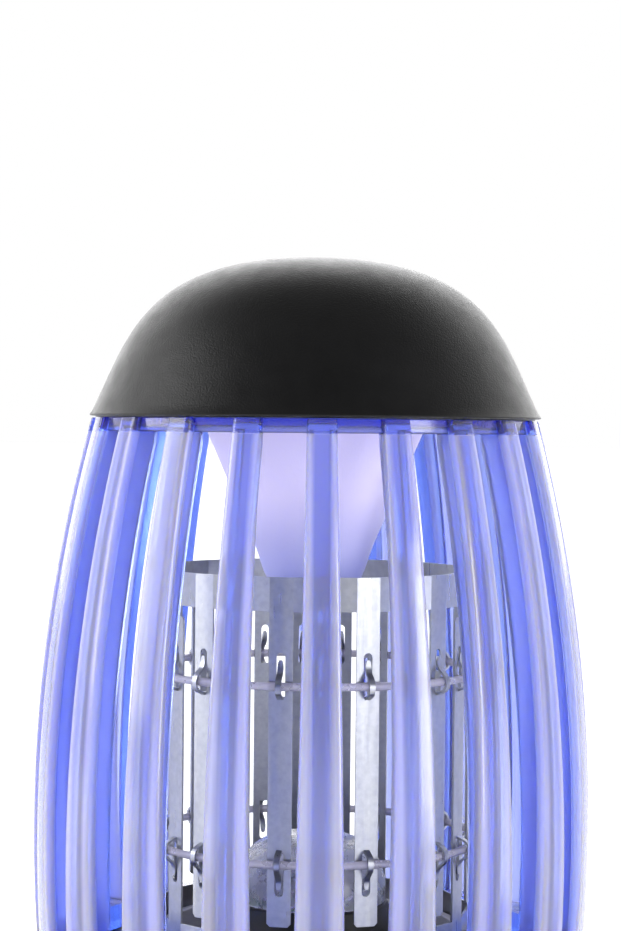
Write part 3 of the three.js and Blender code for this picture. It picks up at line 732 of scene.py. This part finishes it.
# ---------------------------------------- the cap
def top_cap():
    outer = cap_outline(0)
    inner = cap_outline(CAP_WALL)
    edge = [Vector((CAP_EDGE_RADIUS + x, CAP_EDGE_Z + z)) for x, z in CAP_EDGE_CURVE]
    dome = [p for p in outer if p.y > CAP_EDGE_Z + DOME_START]
    seat_z = guard_high.z + CAP_SEAT_GAP
    seat = [Vector((CAP_SEAT[0], CAP_EDGE_Z)), Vector((CAP_SEAT[0], seat_z)),
            Vector((CAP_SEAT[1], seat_z)), Vector((CAP_SEAT[1], CAP_EDGE_Z))]
    seat_root = inner[0] + Vector((-1, 0.6))
    shell = turned([*reversed(inner[1:]), seat_root, *seat, *edge, *dome], FINE)
    core_foot = CAP_EDGE_Z - 0.01
    skin = 0.8  # left between the posts and the dome's outside
    core = turned([(0, core_foot), (CAP_EDGE_RADIUS - 1, core_foot),
                   *[(max(p.x - skin, 0), p.y - skin) for p in outer[1:]]], 64)
    post = disc(CAP_POST_RADIUS, (CAP_EDGE_Z + 0.05, HEIGHT), 32)
    posts = inside(merged(ring_of(post, CAP_SCREW_CIRCLE, CORNERS)), core)
    hole = disc(CAP_POST_HOLE, (CAP_EDGE_Z - PAST, CAP_EDGE_Z + 9), 20)
    return cut(joined(shell, posts), merged(ring_of(hole, CAP_SCREW_CIRCLE, CORNERS)))


show("top_cap", top_cap())


# ---------------------------------------- the guard
def rib_section(z):
    """A rib at a height: a flange outside with rounded edges, and a fin behind it."""
    t = (z - guard_low.z) / (guard_high.z - guard_low.z)
    half = lerp(*RIB_WIDTHS, t) / 2
    fin = lerp(*FIN_WIDTHS, t) / 2
    face = -barrel_radius(z)
    back = face + RIB_FLANGE
    tip = -barrel_radius(min(z, FIN_STRAIGHT_Z)) + RIB_DEPTH
    face_half = half - RIB_TAPER
    corners = [(-face_half, face, 1.1), (face_half, face, 1.1), (half, back, 0.6),
               (fin, back, 0.9), (fin, tip, 0.7), (-fin, tip, 0.7), (-fin, back, 0.9),
               (-half, back, 0.6)]
    return [(p.x, p.y, z) for p in softened(corners)]


def guard():
    foot_top = guard_low.z + GUARD_FOOT_HEIGHT
    rib_z = (guard_low.z + RIB_ENDS[0], guard_high.z - RIB_ENDS[1])
    rib = lofted([rib_section(lerp(*rib_z, i / RIB_STEPS)) for i in range(RIB_STEPS + 1)])
    skirt_inside = SKIRT_RADIUS - SKIRT_WIDTH
    top = guard_high.z
    roof = turned(softened([
        (ROOF_HOLE, top - ROOF, 0.3), (skirt_inside, top - ROOF, 0.6),
        (skirt_inside, top - SKIRT_HEIGHT, 0.3), (SKIRT_RADIUS, top - SKIRT_HEIGHT, 0.4),
        (SKIRT_RADIUS, top, 0.3), (ROOF_HOLE, top, 0.3)]), FINE)
    outside = barrel_line((guard_low.z, foot_top), 0.2, 4)
    inner = barrel_line((guard_low.z, foot_top), GUARD_FOOT_WIDTH, 4)
    foot = turned([*outside, *reversed(inner)], FINE)
    whole = joined(merged([roof, foot]), merged(copies(rib, evenly(RIB_COUNT))))
    roof_z = (top - 5, top + PAST)
    foot_z = (guard_low.z - PAST, guard_low.z + 4.4)
    cap_hole = disc(ROOF_CAP_HOLE, roof_z, 16)
    reflector_hole = disc(ROOF_REFLECTOR_HOLE, roof_z, 16)
    foot_hole = disc(GUARD_FOOT_HOLE, foot_z, 16)
    holes = merged([*ring_of(cap_hole, CAP_SCREW_CIRCLE, CORNERS),
                    *ring_of(reflector_hole, REFLECTOR_SCREW_CIRCLE, REFLECTOR_SCREW_TURNS),
                    *ring_of(foot_hole, GUARD_SCREW_CIRCLE, GUARD_SCREW_TURNS)])
    return cut(whole, holes)


show("guard", guard(), angle=24)


# ---------------------------------------- the reflector
def spline(points, steps):
    """A smooth line through a few points (Catmull-Rom)."""
    ends = [points[0] * 2 - points[1], *points, points[-1] * 2 - points[-2]]
    line = []
    for a, b, c, d in zip(ends, ends[1:], ends[2:], ends[3:]):
        for i in range(steps):
            t = i / steps
            line.append(((b * 2) + (c - a) * t + (a * 2 - b * 5 + c * 4 - d) * t ** 2
                         + (b * 3 - a - c * 3 + d) * t ** 3) / 2)
    return [*line, points[-1]]


def reflector_line(inset):
    """The cone from under its flange to its round tip."""
    lift = inset * 0.7
    line = spline([Vector(p) for p in (
        (CONE_RADIUS - inset, reflector_high.z - REFLECTOR_WALL), (20.9 - inset, 159),
        (14.3 - inset, 143.8), (11.2 - inset, 135.4), (7.6 - lift, 131.8 + lift),
        (0, reflector_low.z + inset))], 9)
    return [(max(p.x, 0), p.y) for p in line]


def reflector():
    top = reflector_high.z
    flange = reflector_high.x
    outer = reflector_line(0)
    inner = reflector_line(REFLECTOR_WALL)
    rim = softened([
        (CONE_RADIUS, top - REFLECTOR_WALL, 0), (flange, top - REFLECTOR_WALL, 0.3),
        (flange, top, 0.4), (25.4, top, 0.5), (25.1, top - 2, 0)], closed=False)
    outline = [*reversed(outer), *[tuple(p) for p in rim][1:], *inner[1:]]
    hole = disc(REFLECTOR_HOLE, (top - 4, top + PAST), 16)
    holes = ring_of(hole, REFLECTOR_SCREW_CIRCLE, REFLECTOR_SCREW_TURNS)
    return cut(turned(outline, 120), merged(holes))


show("reflector", reflector())


# ---------------------------------------- the shock grid
def half_slot(z_root, z_arch, side):
    """One side of a slot from its square root to its round end, as (x, z)."""
    radius = SLOT_WIDTH / 2
    up = 1 if z_arch > z_root else -1
    line = [(0, z_root), (side * radius, z_root)]
    for k in range(7):
        turn = math.radians(90 * k / 6)
        line.append((side * radius * math.cos(turn),
                     z_arch - up * radius * (1 - math.sin(turn))))
    return line


def comb_sheet():
    """The comb as a folded sheet without thickness, its front finger at the front."""
    top = comb_high.z
    collar_foot = top - COLLAR_HEIGHT
    tip = 2 * GRID_MIDDLE_Z - collar_foot + FINGER_CLEARANCE
    half = FINGER_WIDTH / 2
    low_arch, low_root = (2 * GRID_MIDDLE_Z - z for z in reversed(SLOT_Z))
    points, faces = [], []

    def face(corners, turn):
        first = len(points)
        points.extend(turn_to(turn) @ Vector((x, -GRID_FACE, z)) for x, z in corners)
        faces.append(list(range(first, len(points))))

    for turn in evenly(FINGER_COUNT):
        for side in (-1, 1):
            outline = [(side * half, top), (side * half, collar_foot), (side * half, tip + 0.7),
                       (side * (half - 0.7), tip), (0, tip),
                       *reversed(half_slot(low_root, low_arch, side)),
                       *half_slot(SLOT_Z[0], SLOT_Z[1], side), (0, top)]
            face(outline if side < 0 else outline[::-1], turn)
        left = turn_to(turn) @ Vector((half, -GRID_FACE, 0))
        right = turn_to(turn + 360 / FINGER_COUNT) @ Vector((-half, -GRID_FACE, 0))
        first = len(points)
        points += [Vector((left.x, left.y, collar_foot)), Vector((right.x, right.y, collar_foot)),
                   Vector((right.x, right.y, top)), Vector((left.x, left.y, top))]
        faces.append([first, first + 1, first + 2, first + 3])
    sheet = loose_object(mesh_of(points, faces))
    solidify = sheet.modifiers.new("thickness", "SOLIDIFY")
    solidify.thickness = SHEET * MM
    solidify.offset = -1
    solidify.use_even_offset = True
    bevel_edges(sheet, 0.1, 50)
    return evaluated(sheet)


def tongue():
    """The strip bent out of a slot: up from its root, out over the loop and back in."""
    reach = GAP + 2 * LOOP_RADIUS + GAP + SHEET / 2
    side_view = spline([Vector(p) for p in (
        (-SHEET / 2, LOOP_Z - 2.9), (reach * 0.8, LOOP_Z - 1.7), (reach, LOOP_Z),
        (reach * 0.78, LOOP_Z + 1.5), (0.8, LOOP_Z + 2.7), (0.15, LOOP_Z + 4),
        (0, LOOP_Z + 5.7))], 4)
    rings = []
    for i, here in enumerate(side_view):
        before = side_view[max(i - 1, 0)]
        after = side_view[min(i + 1, len(side_view) - 1)]
        along = (after - before).normalized()
        out = Vector((along.y, -along.x)) * SHEET / 2
        left = len(side_view) - 1 - i
        share = TONGUE_TIP[left] if left < len(TONGUE_TIP) else 1
        half = TONGUE_WIDTH / 2 * share
        ring = []
        for x, side in ((-half, -1), (half, -1), (half, 1), (-half, 1)):
            point = here + out * side
            ring.append((x, -GRID_FACE - point.x, point.y))
        rings.append(ring)
    return lofted(rings)


def upside_down(mesh):
    middle = Matrix.Translation((0, 0, GRID_MIDDLE_Z * MM))
    return moved(mesh, middle @ Matrix.Rotation(math.pi, 4, "Y") @ middle.inverted())


def comb():
    tongues = copies(tongue(), evenly(FINGER_COUNT))
    low_tongues = [upside_down(mesh) for mesh in tongues]
    whole = joined(comb_sheet(), merged(tongues + low_tongues))
    return moved(whole, turn_to(UPPER_COMB_TURN))


upper_comb = comb()
level = moved(upper_comb, turn_to(-UPPER_COMB_TURN))
lower_comb = moved(upside_down(level), turn_to(UPPER_COMB_TURN + 180 / FINGER_COUNT))
show("upper_electrode", upper_comb, angle=12)
show("lower_electrode", lower_comb, angle=12)


def insulating_loop(z):
    """A nylon cord pulled round the grid, a little thinner between the tongues."""
    middle = GRID_FACE + GAP + LOOP_RADIUS
    sides = 12
    steps = 240
    points, faces = [], []
    for i in range(steps):
        turn = i * 360 / steps
        from_tongue = math.radians((turn - UPPER_COMB_TURN) * 2 * FINGER_COUNT)
        swell = 0.92 + 0.06 * math.cos(from_tongue)
        for k in range(sides):
            roll = 2 * math.pi * k / sides
            radius = LOOP_RADIUS * swell
            out = middle + radius * math.cos(roll)
            points.append(around(turn, out, z + radius * math.sin(roll)))
        for k in range(sides):
            a, b = i * sides + k, i * sides + (k + 1) % sides
            after = ((i + 1) % steps) * sides
            faces.append([a, b, after + (k + 1) % sides, after + k])
    return mesh_of(points, faces)


show("insulator_loop_upper", insulating_loop(LOOP_Z), angle=60)
show("insulator_loop_lower", insulating_loop(2 * GRID_MIDDLE_Z - LOOP_Z), angle=60)


def grid_carrier():
    foot, top = carrier_low.z, carrier_high.z
    (inner, groove_start), (groove_end, outer) = CARRIER_WALLS
    floor_z = foot + CARRIER_FLOOR
    ring = turned(softened([
        (inner, foot, 0.3), (outer, foot, 0.5), (outer, top, 0.5), (groove_end, top, 0.2),
        (groove_end, floor_z, 0), (groove_start, floor_z, 0), (groove_start, top, 0.2),
        (inner, top, 0.4)]), 120)
    notch = block((-9, 9), (30, 36), (foot - PAST, top + PAST))
    return cut(ring, notch)


show("grid_carrier", grid_carrier())


# ---------------------------------------- the light
def led_pod():
    foot = low_high("led_pod")[0].z
    outer = turned(softened([
        (0, foot, 0), (21, foot, 0.3), (20, foot + 8, 1), (18, foot + 13, 0.5),
        (0, foot + 13, 0)], closed=False), 96)
    hollow = turned([(0, foot - PAST), (19.4, foot - PAST), (18.4, foot + 7.4),
                     (16, foot + 9.6), (0, foot + 9.6)], 96)
    board_seat = disc(16.3, (foot + 11, foot + 13 + PAST), 96)
    lead_hole = disc(3, (foot + 5, foot + 13 + PAST), 24)
    back_door = block((-9, 9), (15, 24), (foot - PAST, foot + 3.4))
    return cut(outer, hollow, board_seat, lead_hole, back_door)


def led_board():
    low, high = board_low.z, board_high.z
    lead_hole = disc(2, (low - PAST, high + PAST), 24)
    return cut(disc(LED_BOARD_RADIUS, (low, high), 64, 0.2), lead_hole)


def led(index):
    """One of six, in a circle: a base, a body and a domed top."""
    foot = low_high("uv_led_1")[0].z
    outline = softened([(0, foot, 0), (2.9, foot, 0.1), (2.9, foot + 1, 0.2), (2.5, foot + 1, 0.1),
                        (2.5, foot + 5.2, 1.4), (1.2, foot + 7.5, 1), (0, foot + 7.5, 0)],
                       closed=False)
    return shifted(turned(outline, 32), *around(30 + index * 60, 10).xy)


def led_lens():
    foot = lens_low.z
    outer = spline([Vector(p) for p in (
        (17.6, foot), (17.2, foot + 6), (14, foot + 12), (8, foot + 15), (0, foot + 16))], 8)
    inner = spline([Vector(p) for p in (
        (16, foot), (15.6, foot + 5.4), (12.8, foot + 10.8), (7.4, foot + 13.5),
        (0, foot + 14.4))], 8)
    return turned([*[tuple(p) for p in reversed(outer)], *[tuple(p) for p in inner]], 96)


show("led_pod", led_pod(), edge=0.2)
show("led_board", led_board())
show("led_lens", led_lens())
for number in range(6):
    show(f"uv_led_{number + 1}", led(number))


# ---------------------------------------- the base
def sector(inner, outer, start, end):
    """A window in a ring between two directions, with rounded corners."""
    steps = 8
    turns = [lerp(start, end, i / steps) for i in range(steps + 1)]
    edge = [around(turn, outer) for turn in turns]
    back = [around(turn, inner) for turn in reversed(turns)]
    corners = []
    for line in (edge, back):
        for i, point in enumerate(line):
            corners.append((point.x, point.y, 0.9 if i in (0, steps) else 0))
    return [tuple(p) for p in softened(corners)]


def either_way(half):
    return (-half, half)


def about_inlet(half):
    return (INLET_Z - half, INLET_Z + half)


def base_deck():
    low, high = deck_low.z, deck_high.z
    through = (low - PAST, high + PAST)
    windows = [sector(inner, outer, turn - half, turn + half)
               for count, inner, outer, half in DECK_WINDOWS
               for turn in evenly(count) if turn != 180]
    screw_hole = disc(DECK_HOLE, through, 16)
    cuts = [*[prism(window, through) for window in windows], disc(COLUMN_BORE, through, 32),
            *ring_of(screw_hole, GUARD_SCREW_CIRCLE, GUARD_SCREW_TURNS)]
    return cut(disc(deck_high.x, (low, high), FINE, 0.3), merged(cuts))


def base_housing():
    foot, rim = housing_low.z, housing_high.z
    inner = barrel_line((foot, rim), BASE_WALL)
    outer = barrel_line((foot + 0.6, rim - 0.5), 0)
    lower_edge = (barrel_radius(foot) - 0.7, foot)
    upper_edge = (barrel_radius(rim) - 0.5, rim)
    wall = turned([lower_edge, *outer, upper_edge, *reversed(inner)], FINE)
    column = disc(COLUMN_RADIUS, (BASE_FLOOR[0] + 0.5, deck_low.z - GAP), 48)
    post = disc(POST_RADIUS, (plate_high.z + GAP, BASE_FLOOR[1] - 0.5), 24)
    ledge = tube(*LEDGE, (LEDGE_FOOT_Z, deck_low.z - GAP), FINE)
    whole = joined(wall, disc(FLOOR_RADIUS, BASE_FLOOR, FINE), column, ledge,
                   *ring_of(post, BOTTOM_SCREW_CIRCLE, CORNERS))
    door_half = tray_high.x + DOOR_GAP
    door_z = (BASE_FLOOR[1], TRAY_PANEL_TOP + DOOR_GAP)
    door = block(either_way(door_half), IN_FRONT, door_z)
    switch_hole = block(OUTWARD, either_way(SWITCH_HOLE[0]), about_inlet(SWITCH_HOLE[1]))
    socket_hole = block(either_way(SOCKET_HOLE[0]), OUTWARD, about_inlet(SOCKET_HOLE[1]))
    post_hole = disc(POST_HOLE, (0, 16), 16)
    return cut(whole, disc(COLUMN_BORE, (0, 60), 32), door, switch_hole, socket_hole,
               *ring_of(post_hole, BOTTOM_SCREW_CIRCLE, CORNERS))


def insect_tray():
    half = TRAY_HALF_WIDTH
    low, top = tray_low.z, TRAY_RIM_Z

    def pan_shape(inset, z_range):
        round_part = disc(TRAY_RADIUS - inset, z_range, FINE)
        sides = block((inset - half, half - inset), (-70, TRAY_BACK_Y - inset),
                      (z_range[0] - PAST, z_range[1] + PAST), 2)
        slot_half = TRAY_SLOT_RADIUS + inset
        slot = disc(slot_half, (0, 60), 48)
        slot_back = block(either_way(slot_half), (0, 60), (0, 60))
        return cut(inside(round_part, sides), slot, slot_back)

    pan = cut(pan_shape(0, (low, top)), pan_shape(TRAY_WALL, (low + TRAY_WALL, top + 3)))
    line = barrel_line((low, TRAY_PANEL_TOP), 0.1, 8)
    panel = turned([*line, (TRAY_PANEL_RADIUS, TRAY_PANEL_TOP), (TRAY_PANEL_RADIUS, low)], 200)
    front = block(either_way(tray_high.x), IN_FRONT, (low - PAST, TRAY_PANEL_TOP + PAST))
    pull_front = block(either_way(PULL_HALF_WIDTH), IN_FRONT, (30, 42), 1)
    pull = inside(tube(*PULL, PULL_Z, 200, 0.5), pull_front)
    return joined(pan, inside(panel, front), pull)


def bottom_plate():
    low, high = plate_low.z, PLATE_TOP_Z
    through = (0, 12)
    screw_hole = disc(PLATE_HOLE, through, 16)
    seat = disc(FOOT_SEAT_RADIUS, (0, foot_high.z + GAP), 32)
    vent = block(either_way(VENT[0]), either_way(VENT[1]), through, 1.1)
    vents = [shifted(vent, x, 0) for x in (-16, -8, 0, 8, 16)]
    bore, radius = STANDOFF_RADII
    standoffs = [shifted(disc(radius, (low + 1, plate_high.z), 24), x, y) for x, y in STANDOFFS]
    bores = [shifted(disc(bore, (5, 12), 12), x, y) for x, y in STANDOFFS]
    whole = joined(disc(PLATE_RADIUS, (low, high), FINE, 0.4), *standoffs)
    return cut(whole, merged([*bores, *ring_of(screw_hole, BOTTOM_SCREW_CIRCLE, CORNERS),
                              *ring_of(seat, FOOT_CIRCLE, evenly(4)), *vents]))


def rubber_foot():
    radius = (foot_high.x - foot_low.x) / 2
    return disc(radius, (0, foot_high.z), 48, 0.8)


show("base_deck", base_deck())
show("base_housing", base_housing(), edge=0.25)
show("insect_tray", insect_tray(), edge=0.25, body="tray")
show("bottom_plate", bottom_plate())
for number, turn in enumerate(evenly(4)):
    show(f"rubber_foot_{number + 1}", shifted(rubber_foot(), *around(turn, FOOT_CIRCLE).xy))


# ---------------------------------------- switch and socket
def switch_body():
    low, high = switch_low, switch_high
    shell = block((low.x, high.x), either_way(SWITCH_HALF_WIDTH), (low.z, high.z))
    well = block((49.5, 70), either_way(SWITCH_WELL[0]), about_inlet(SWITCH_WELL[1]))
    pin_hole = shifted(disc(PIN_RADII[1], about_inlet(4.7), 24), PIVOT_X, 0)
    return cut(shell, well, pin_hole)


def switch_rocker():
    """The rocker, seen from above: a shallow V in front and a round back about the pivot."""
    outline = softened([(3.6, -5.6, 0.7), (2.6, 0, 2), (3.6, 5.6, 0.7), (-2.4, 4.6, 1.5),
                        (-5.4, 0, 2.5), (-2.4, -4.6, 1.5)])
    paddle = prism(outline, about_inlet(ROCKER_HALF_HEIGHT))
    pin = disc(PIN_RADII[0], about_inlet(4.4), 24)
    tipped = moved(joined(paddle, pin), turn_to(ROCKER_REST))
    return shifted(tipped, PIVOT_X, 0)


def power_socket():
    low, high = socket_low, socket_high
    shell = block((low.x, high.x), (low.y, high.y), (low.z, high.z))
    lie_down = Matrix.Translation((0, 0, INLET_Z * MM)) @ Matrix.Rotation(-math.pi / 2, 4, "X")
    bore = moved(disc(SOCKET_BORE, (49, 70), 48), lie_down)
    pin = moved(disc(SOCKET_PIN, (48, high.y - 0.8), 32, 0.4), lie_down)
    return joined(cut(shell, bore), pin)


show("switch_body", switch_body(), edge=0.3)
show("switch_rocker", switch_rocker(), edge=0.3, body="rocker")
show("power_socket", power_socket(), edge=0.3)


# ---------------------------------------- fasteners
def screw_mesh(node, head_up):
    """A pan-head screw with a cross recess, sized and placed by its CAD node."""
    low, high = low_high(node)
    middle = (low + high) / 2
    radius = (high.x - low.x) / 2
    length = high.z - low.z
    head = radius * 0.5
    outline = softened([(0, 0, 0), (radius, 0, radius * 0.35), (radius, head, 0.1),
                        (SHANK_RADIUS, head, 0.15), (SHANK_RADIUS, length - 0.6, 0.2),
                        (0.5, length, 0.1), (0, length, 0)], closed=False)
    arm = either_way(radius * 0.58)
    across = either_way(RECESS_HALF_WIDTH)
    recess_z = (-PAST, head * 0.7)
    screw = cut(turned(outline, 32), block(arm, across, recess_z), block(across, arm, recess_z))
    if head_up:
        screw = moved(screw, Matrix.Rotation(math.pi, 4, "X"))
        return shifted(screw, middle.x, middle.y, high.z)
    return shifted(screw, middle.x, middle.y, low.z)


SCREWS = (("cap_screw", 4, False), ("reflector_screw", 3, True), ("guard_screw", 4, False),
          ("bottom_screw", 4, False), ("board_screw", 2, True))
for kind, count, head_up in SCREWS:
    for number in range(count):
        node = f"{kind}_{number + 1}"
        show(node, screw_mesh(node, head_up))


# ---------------------------------------- parts kept from the CAD
KEPT = ("circuit_board", "transformer", "film_capacitor_1", "film_capacitor_2",
        "film_capacitor_3", "bleed_resistor", "rectifier_diode_1", "rectifier_diode_2",
        "upper_electrode_lead", "lower_electrode_lead", "light_lead", "power_lead",
        "switch_lead")
for node in KEPT:
    thing = frame["nodes"][node]
    for slot in thing.material_slots:
        slot.material = MATERIALS[NODE_SLOTS[node]]
    if not node.endswith("lead"):
        bevel_edges(thing, 0.25, 50)


# ---------------------------------------- floor, light and camera
# The room that is reflected and the room that lights the object, from straight behind it (0)
# to straight ahead (1). A ramp's colours end at 1, so it holds them as parts of the peak.
ROOM_PEAK = 3.0
REFLECTED_ROOM = ((0.0, (3.0, 3.0, 3.0)), (0.25, (1.8, 1.8, 1.8)), (0.52, (0.4, 0.4, 0.42)),
                  (0.82, (0.35, 0.35, 0.38)), (0.92, (0.04, 0.05, 0.07)))
DIFFUSE_ROOM = ((0.0, (1.2, 1.2, 1.2)), (0.5, (0.30, 0.30, 0.42)), (0.8, (1.3, 1.3, 1.3)),
                (1.0, (1.6, 1.6, 1.6)))
CEILING = (0.5, 0.85)  # how high a direction points where the ceiling starts and is full
CEILING_COLOR = (0.35, 0.35, 0.35)
LIT_POINT = Vector((0, 0, 0.14))


def stage_material(name, color, glow):
    material, shader = principled(name)
    plain_color(shader, color)
    shader.inputs["Roughness"].default_value = 0.9
    shader.inputs["Emission Color"].default_value = (1, 1, 1, 1)
    shader.inputs["Emission Strength"].default_value = glow
    return material


def stage_plane(name, points, material):
    mesh = bpy.data.meshes.new(name)
    mesh.from_pydata(points, [], [list(range(len(points)))])
    mesh.materials.append(material)
    plane = bpy.data.objects.new(name, mesh)
    bpy.context.scene.collection.objects.link(plane)
    return plane


def floor():
    far = 30.0
    corners = [(-far, -far, 0), (far, -far, 0), (far, far, 0), (-far, far, 0)]
    stage_plane("floor", corners, stage_material("floor", (0.92, 0.92, 0.92), 0.4))


def softbox(name, degrees, distance, height, size, power):
    light = bpy.data.lights.new(name, "AREA")
    light.shape = "RECTANGLE"
    light.size, light.size_y = size
    light.energy = power
    lamp = bpy.data.objects.new(name, light)
    lamp.location = around(degrees, distance, height)
    lamp.rotation_euler = (LIT_POINT - lamp.location).to_track_quat("-Z", "Y").to_euler()
    bpy.context.scene.collection.objects.link(lamp)


def studio_world():
    """White behind the object. Reflections and bounced light find a room that is brightest
    behind, and for reflections dim in front, as a studio is dark behind its camera."""
    world = bpy.data.worlds.new("studio")
    world.use_nodes = True
    tree = world.node_tree
    background = tree.nodes["Background"]
    direction = axes_of(tree, "Generated")

    def mix(factor, a, b):
        node = tree.nodes.new("ShaderNodeMix")
        node.data_type = "RGBA"
        for name, value in (("Factor", factor), ("A", a), ("B", b)):
            socket = [s for s in node.inputs if s.name == name and s.enabled][0]
            if isinstance(value, tuple):
                socket.default_value = (*value, 1)
            else:
                tree.links.new(value, socket)
        return [s for s in node.outputs if s.enabled][0]

    def room(stops):
        """The room's colour in the direction looked in."""
        ramp = tree.nodes.new("ShaderNodeValToRGB")
        ramp.color_ramp.interpolation = "EASE"
        fill_ramp(ramp, [(position, tuple(channel / ROOM_PEAK for channel in color))
                         for position, color in stops])
        tree.links.new(ahead, ramp.inputs["Fac"])
        return ramp.outputs["Color"]

    squares = [calculate(tree, "POWER", direction[axis], 2) for axis in "XY"]
    level = calculate(tree, "SQRT", calculate(tree, "ADD", *squares))
    forward = calculate(tree, "MULTIPLY", direction["Y"], -1)
    cosine = calculate(tree, "DIVIDE", forward, level)
    ahead = calculate(tree, "MULTIPLY_ADD", cosine, 0.5, 0.5)
    high = ranged(tree, direction["Z"], CEILING)
    high.interpolation_type = "SMOOTHSTEP"
    ceiling = tuple(channel / ROOM_PEAK for channel in CEILING_COLOR)
    reflected = mix(high.outputs["Result"], room(REFLECTED_ROOM), ceiling)
    path = tree.nodes.new("ShaderNodeLightPath").outputs
    by_diffuse = calculate(tree, "MINIMUM", path["Diffuse Depth"], 1)
    indirect = mix(by_diffuse, reflected, room(DIFFUSE_ROOM))
    bounces = calculate(tree, "ADD", path["Diffuse Depth"], path["Glossy Depth"])
    bounced = calculate(tree, "MINIMUM", bounces, 1)
    white = (1 / ROOM_PEAK,) * 3
    tree.links.new(mix(bounced, white, indirect), background.inputs["Color"])
    background.inputs["Strength"].default_value = ROOM_PEAK
    bpy.context.scene.world = world


def camera():
    """The photograph's view: nearly level with the dome's edge, from a little to the left."""
    side = -1.67
    distance = 0.536
    height = 0.1705
    off_axis = 0.108
    down = 0.967
    tilt = 0.54
    eye = around(side, distance, height)
    yaw = turn_to(side + off_axis)
    pitch = Matrix.Rotation(math.radians(90 - down), 4, "X")
    roll = Matrix.Rotation(math.radians(tilt), 4, "Z")
    lens = bpy.data.cameras.new("camera")
    lens.lens = 88.2
    lens.sensor_width = 36
    lens.clip_end = 20
    view = bpy.data.objects.new("camera", lens)
    view.matrix_world = Matrix.Translation(eye) @ yaw @ pitch @ roll
    bpy.context.scene.collection.objects.link(view)
    bpy.context.scene.camera = view


def color_and_bounces():
    scene = bpy.context.scene
    scene.view_settings.view_transform = "Standard"
    scene.cycles.use_denoising = True
    scene.cycles.max_bounces = 24
    scene.cycles.transmission_bounces = 20
    scene.cycles.glossy_bounces = 8
    scene.cycles.diffuse_bounces = 4


floor()
softbox("softbox_left", -85, distance=0.9, height=0.45, size=(0.6, 0.7), power=8)
softbox("softbox_right", 50, distance=0.9, height=0.20, size=(0.3, 0.4), power=3.8)
studio_world()
camera()
color_and_bounces()
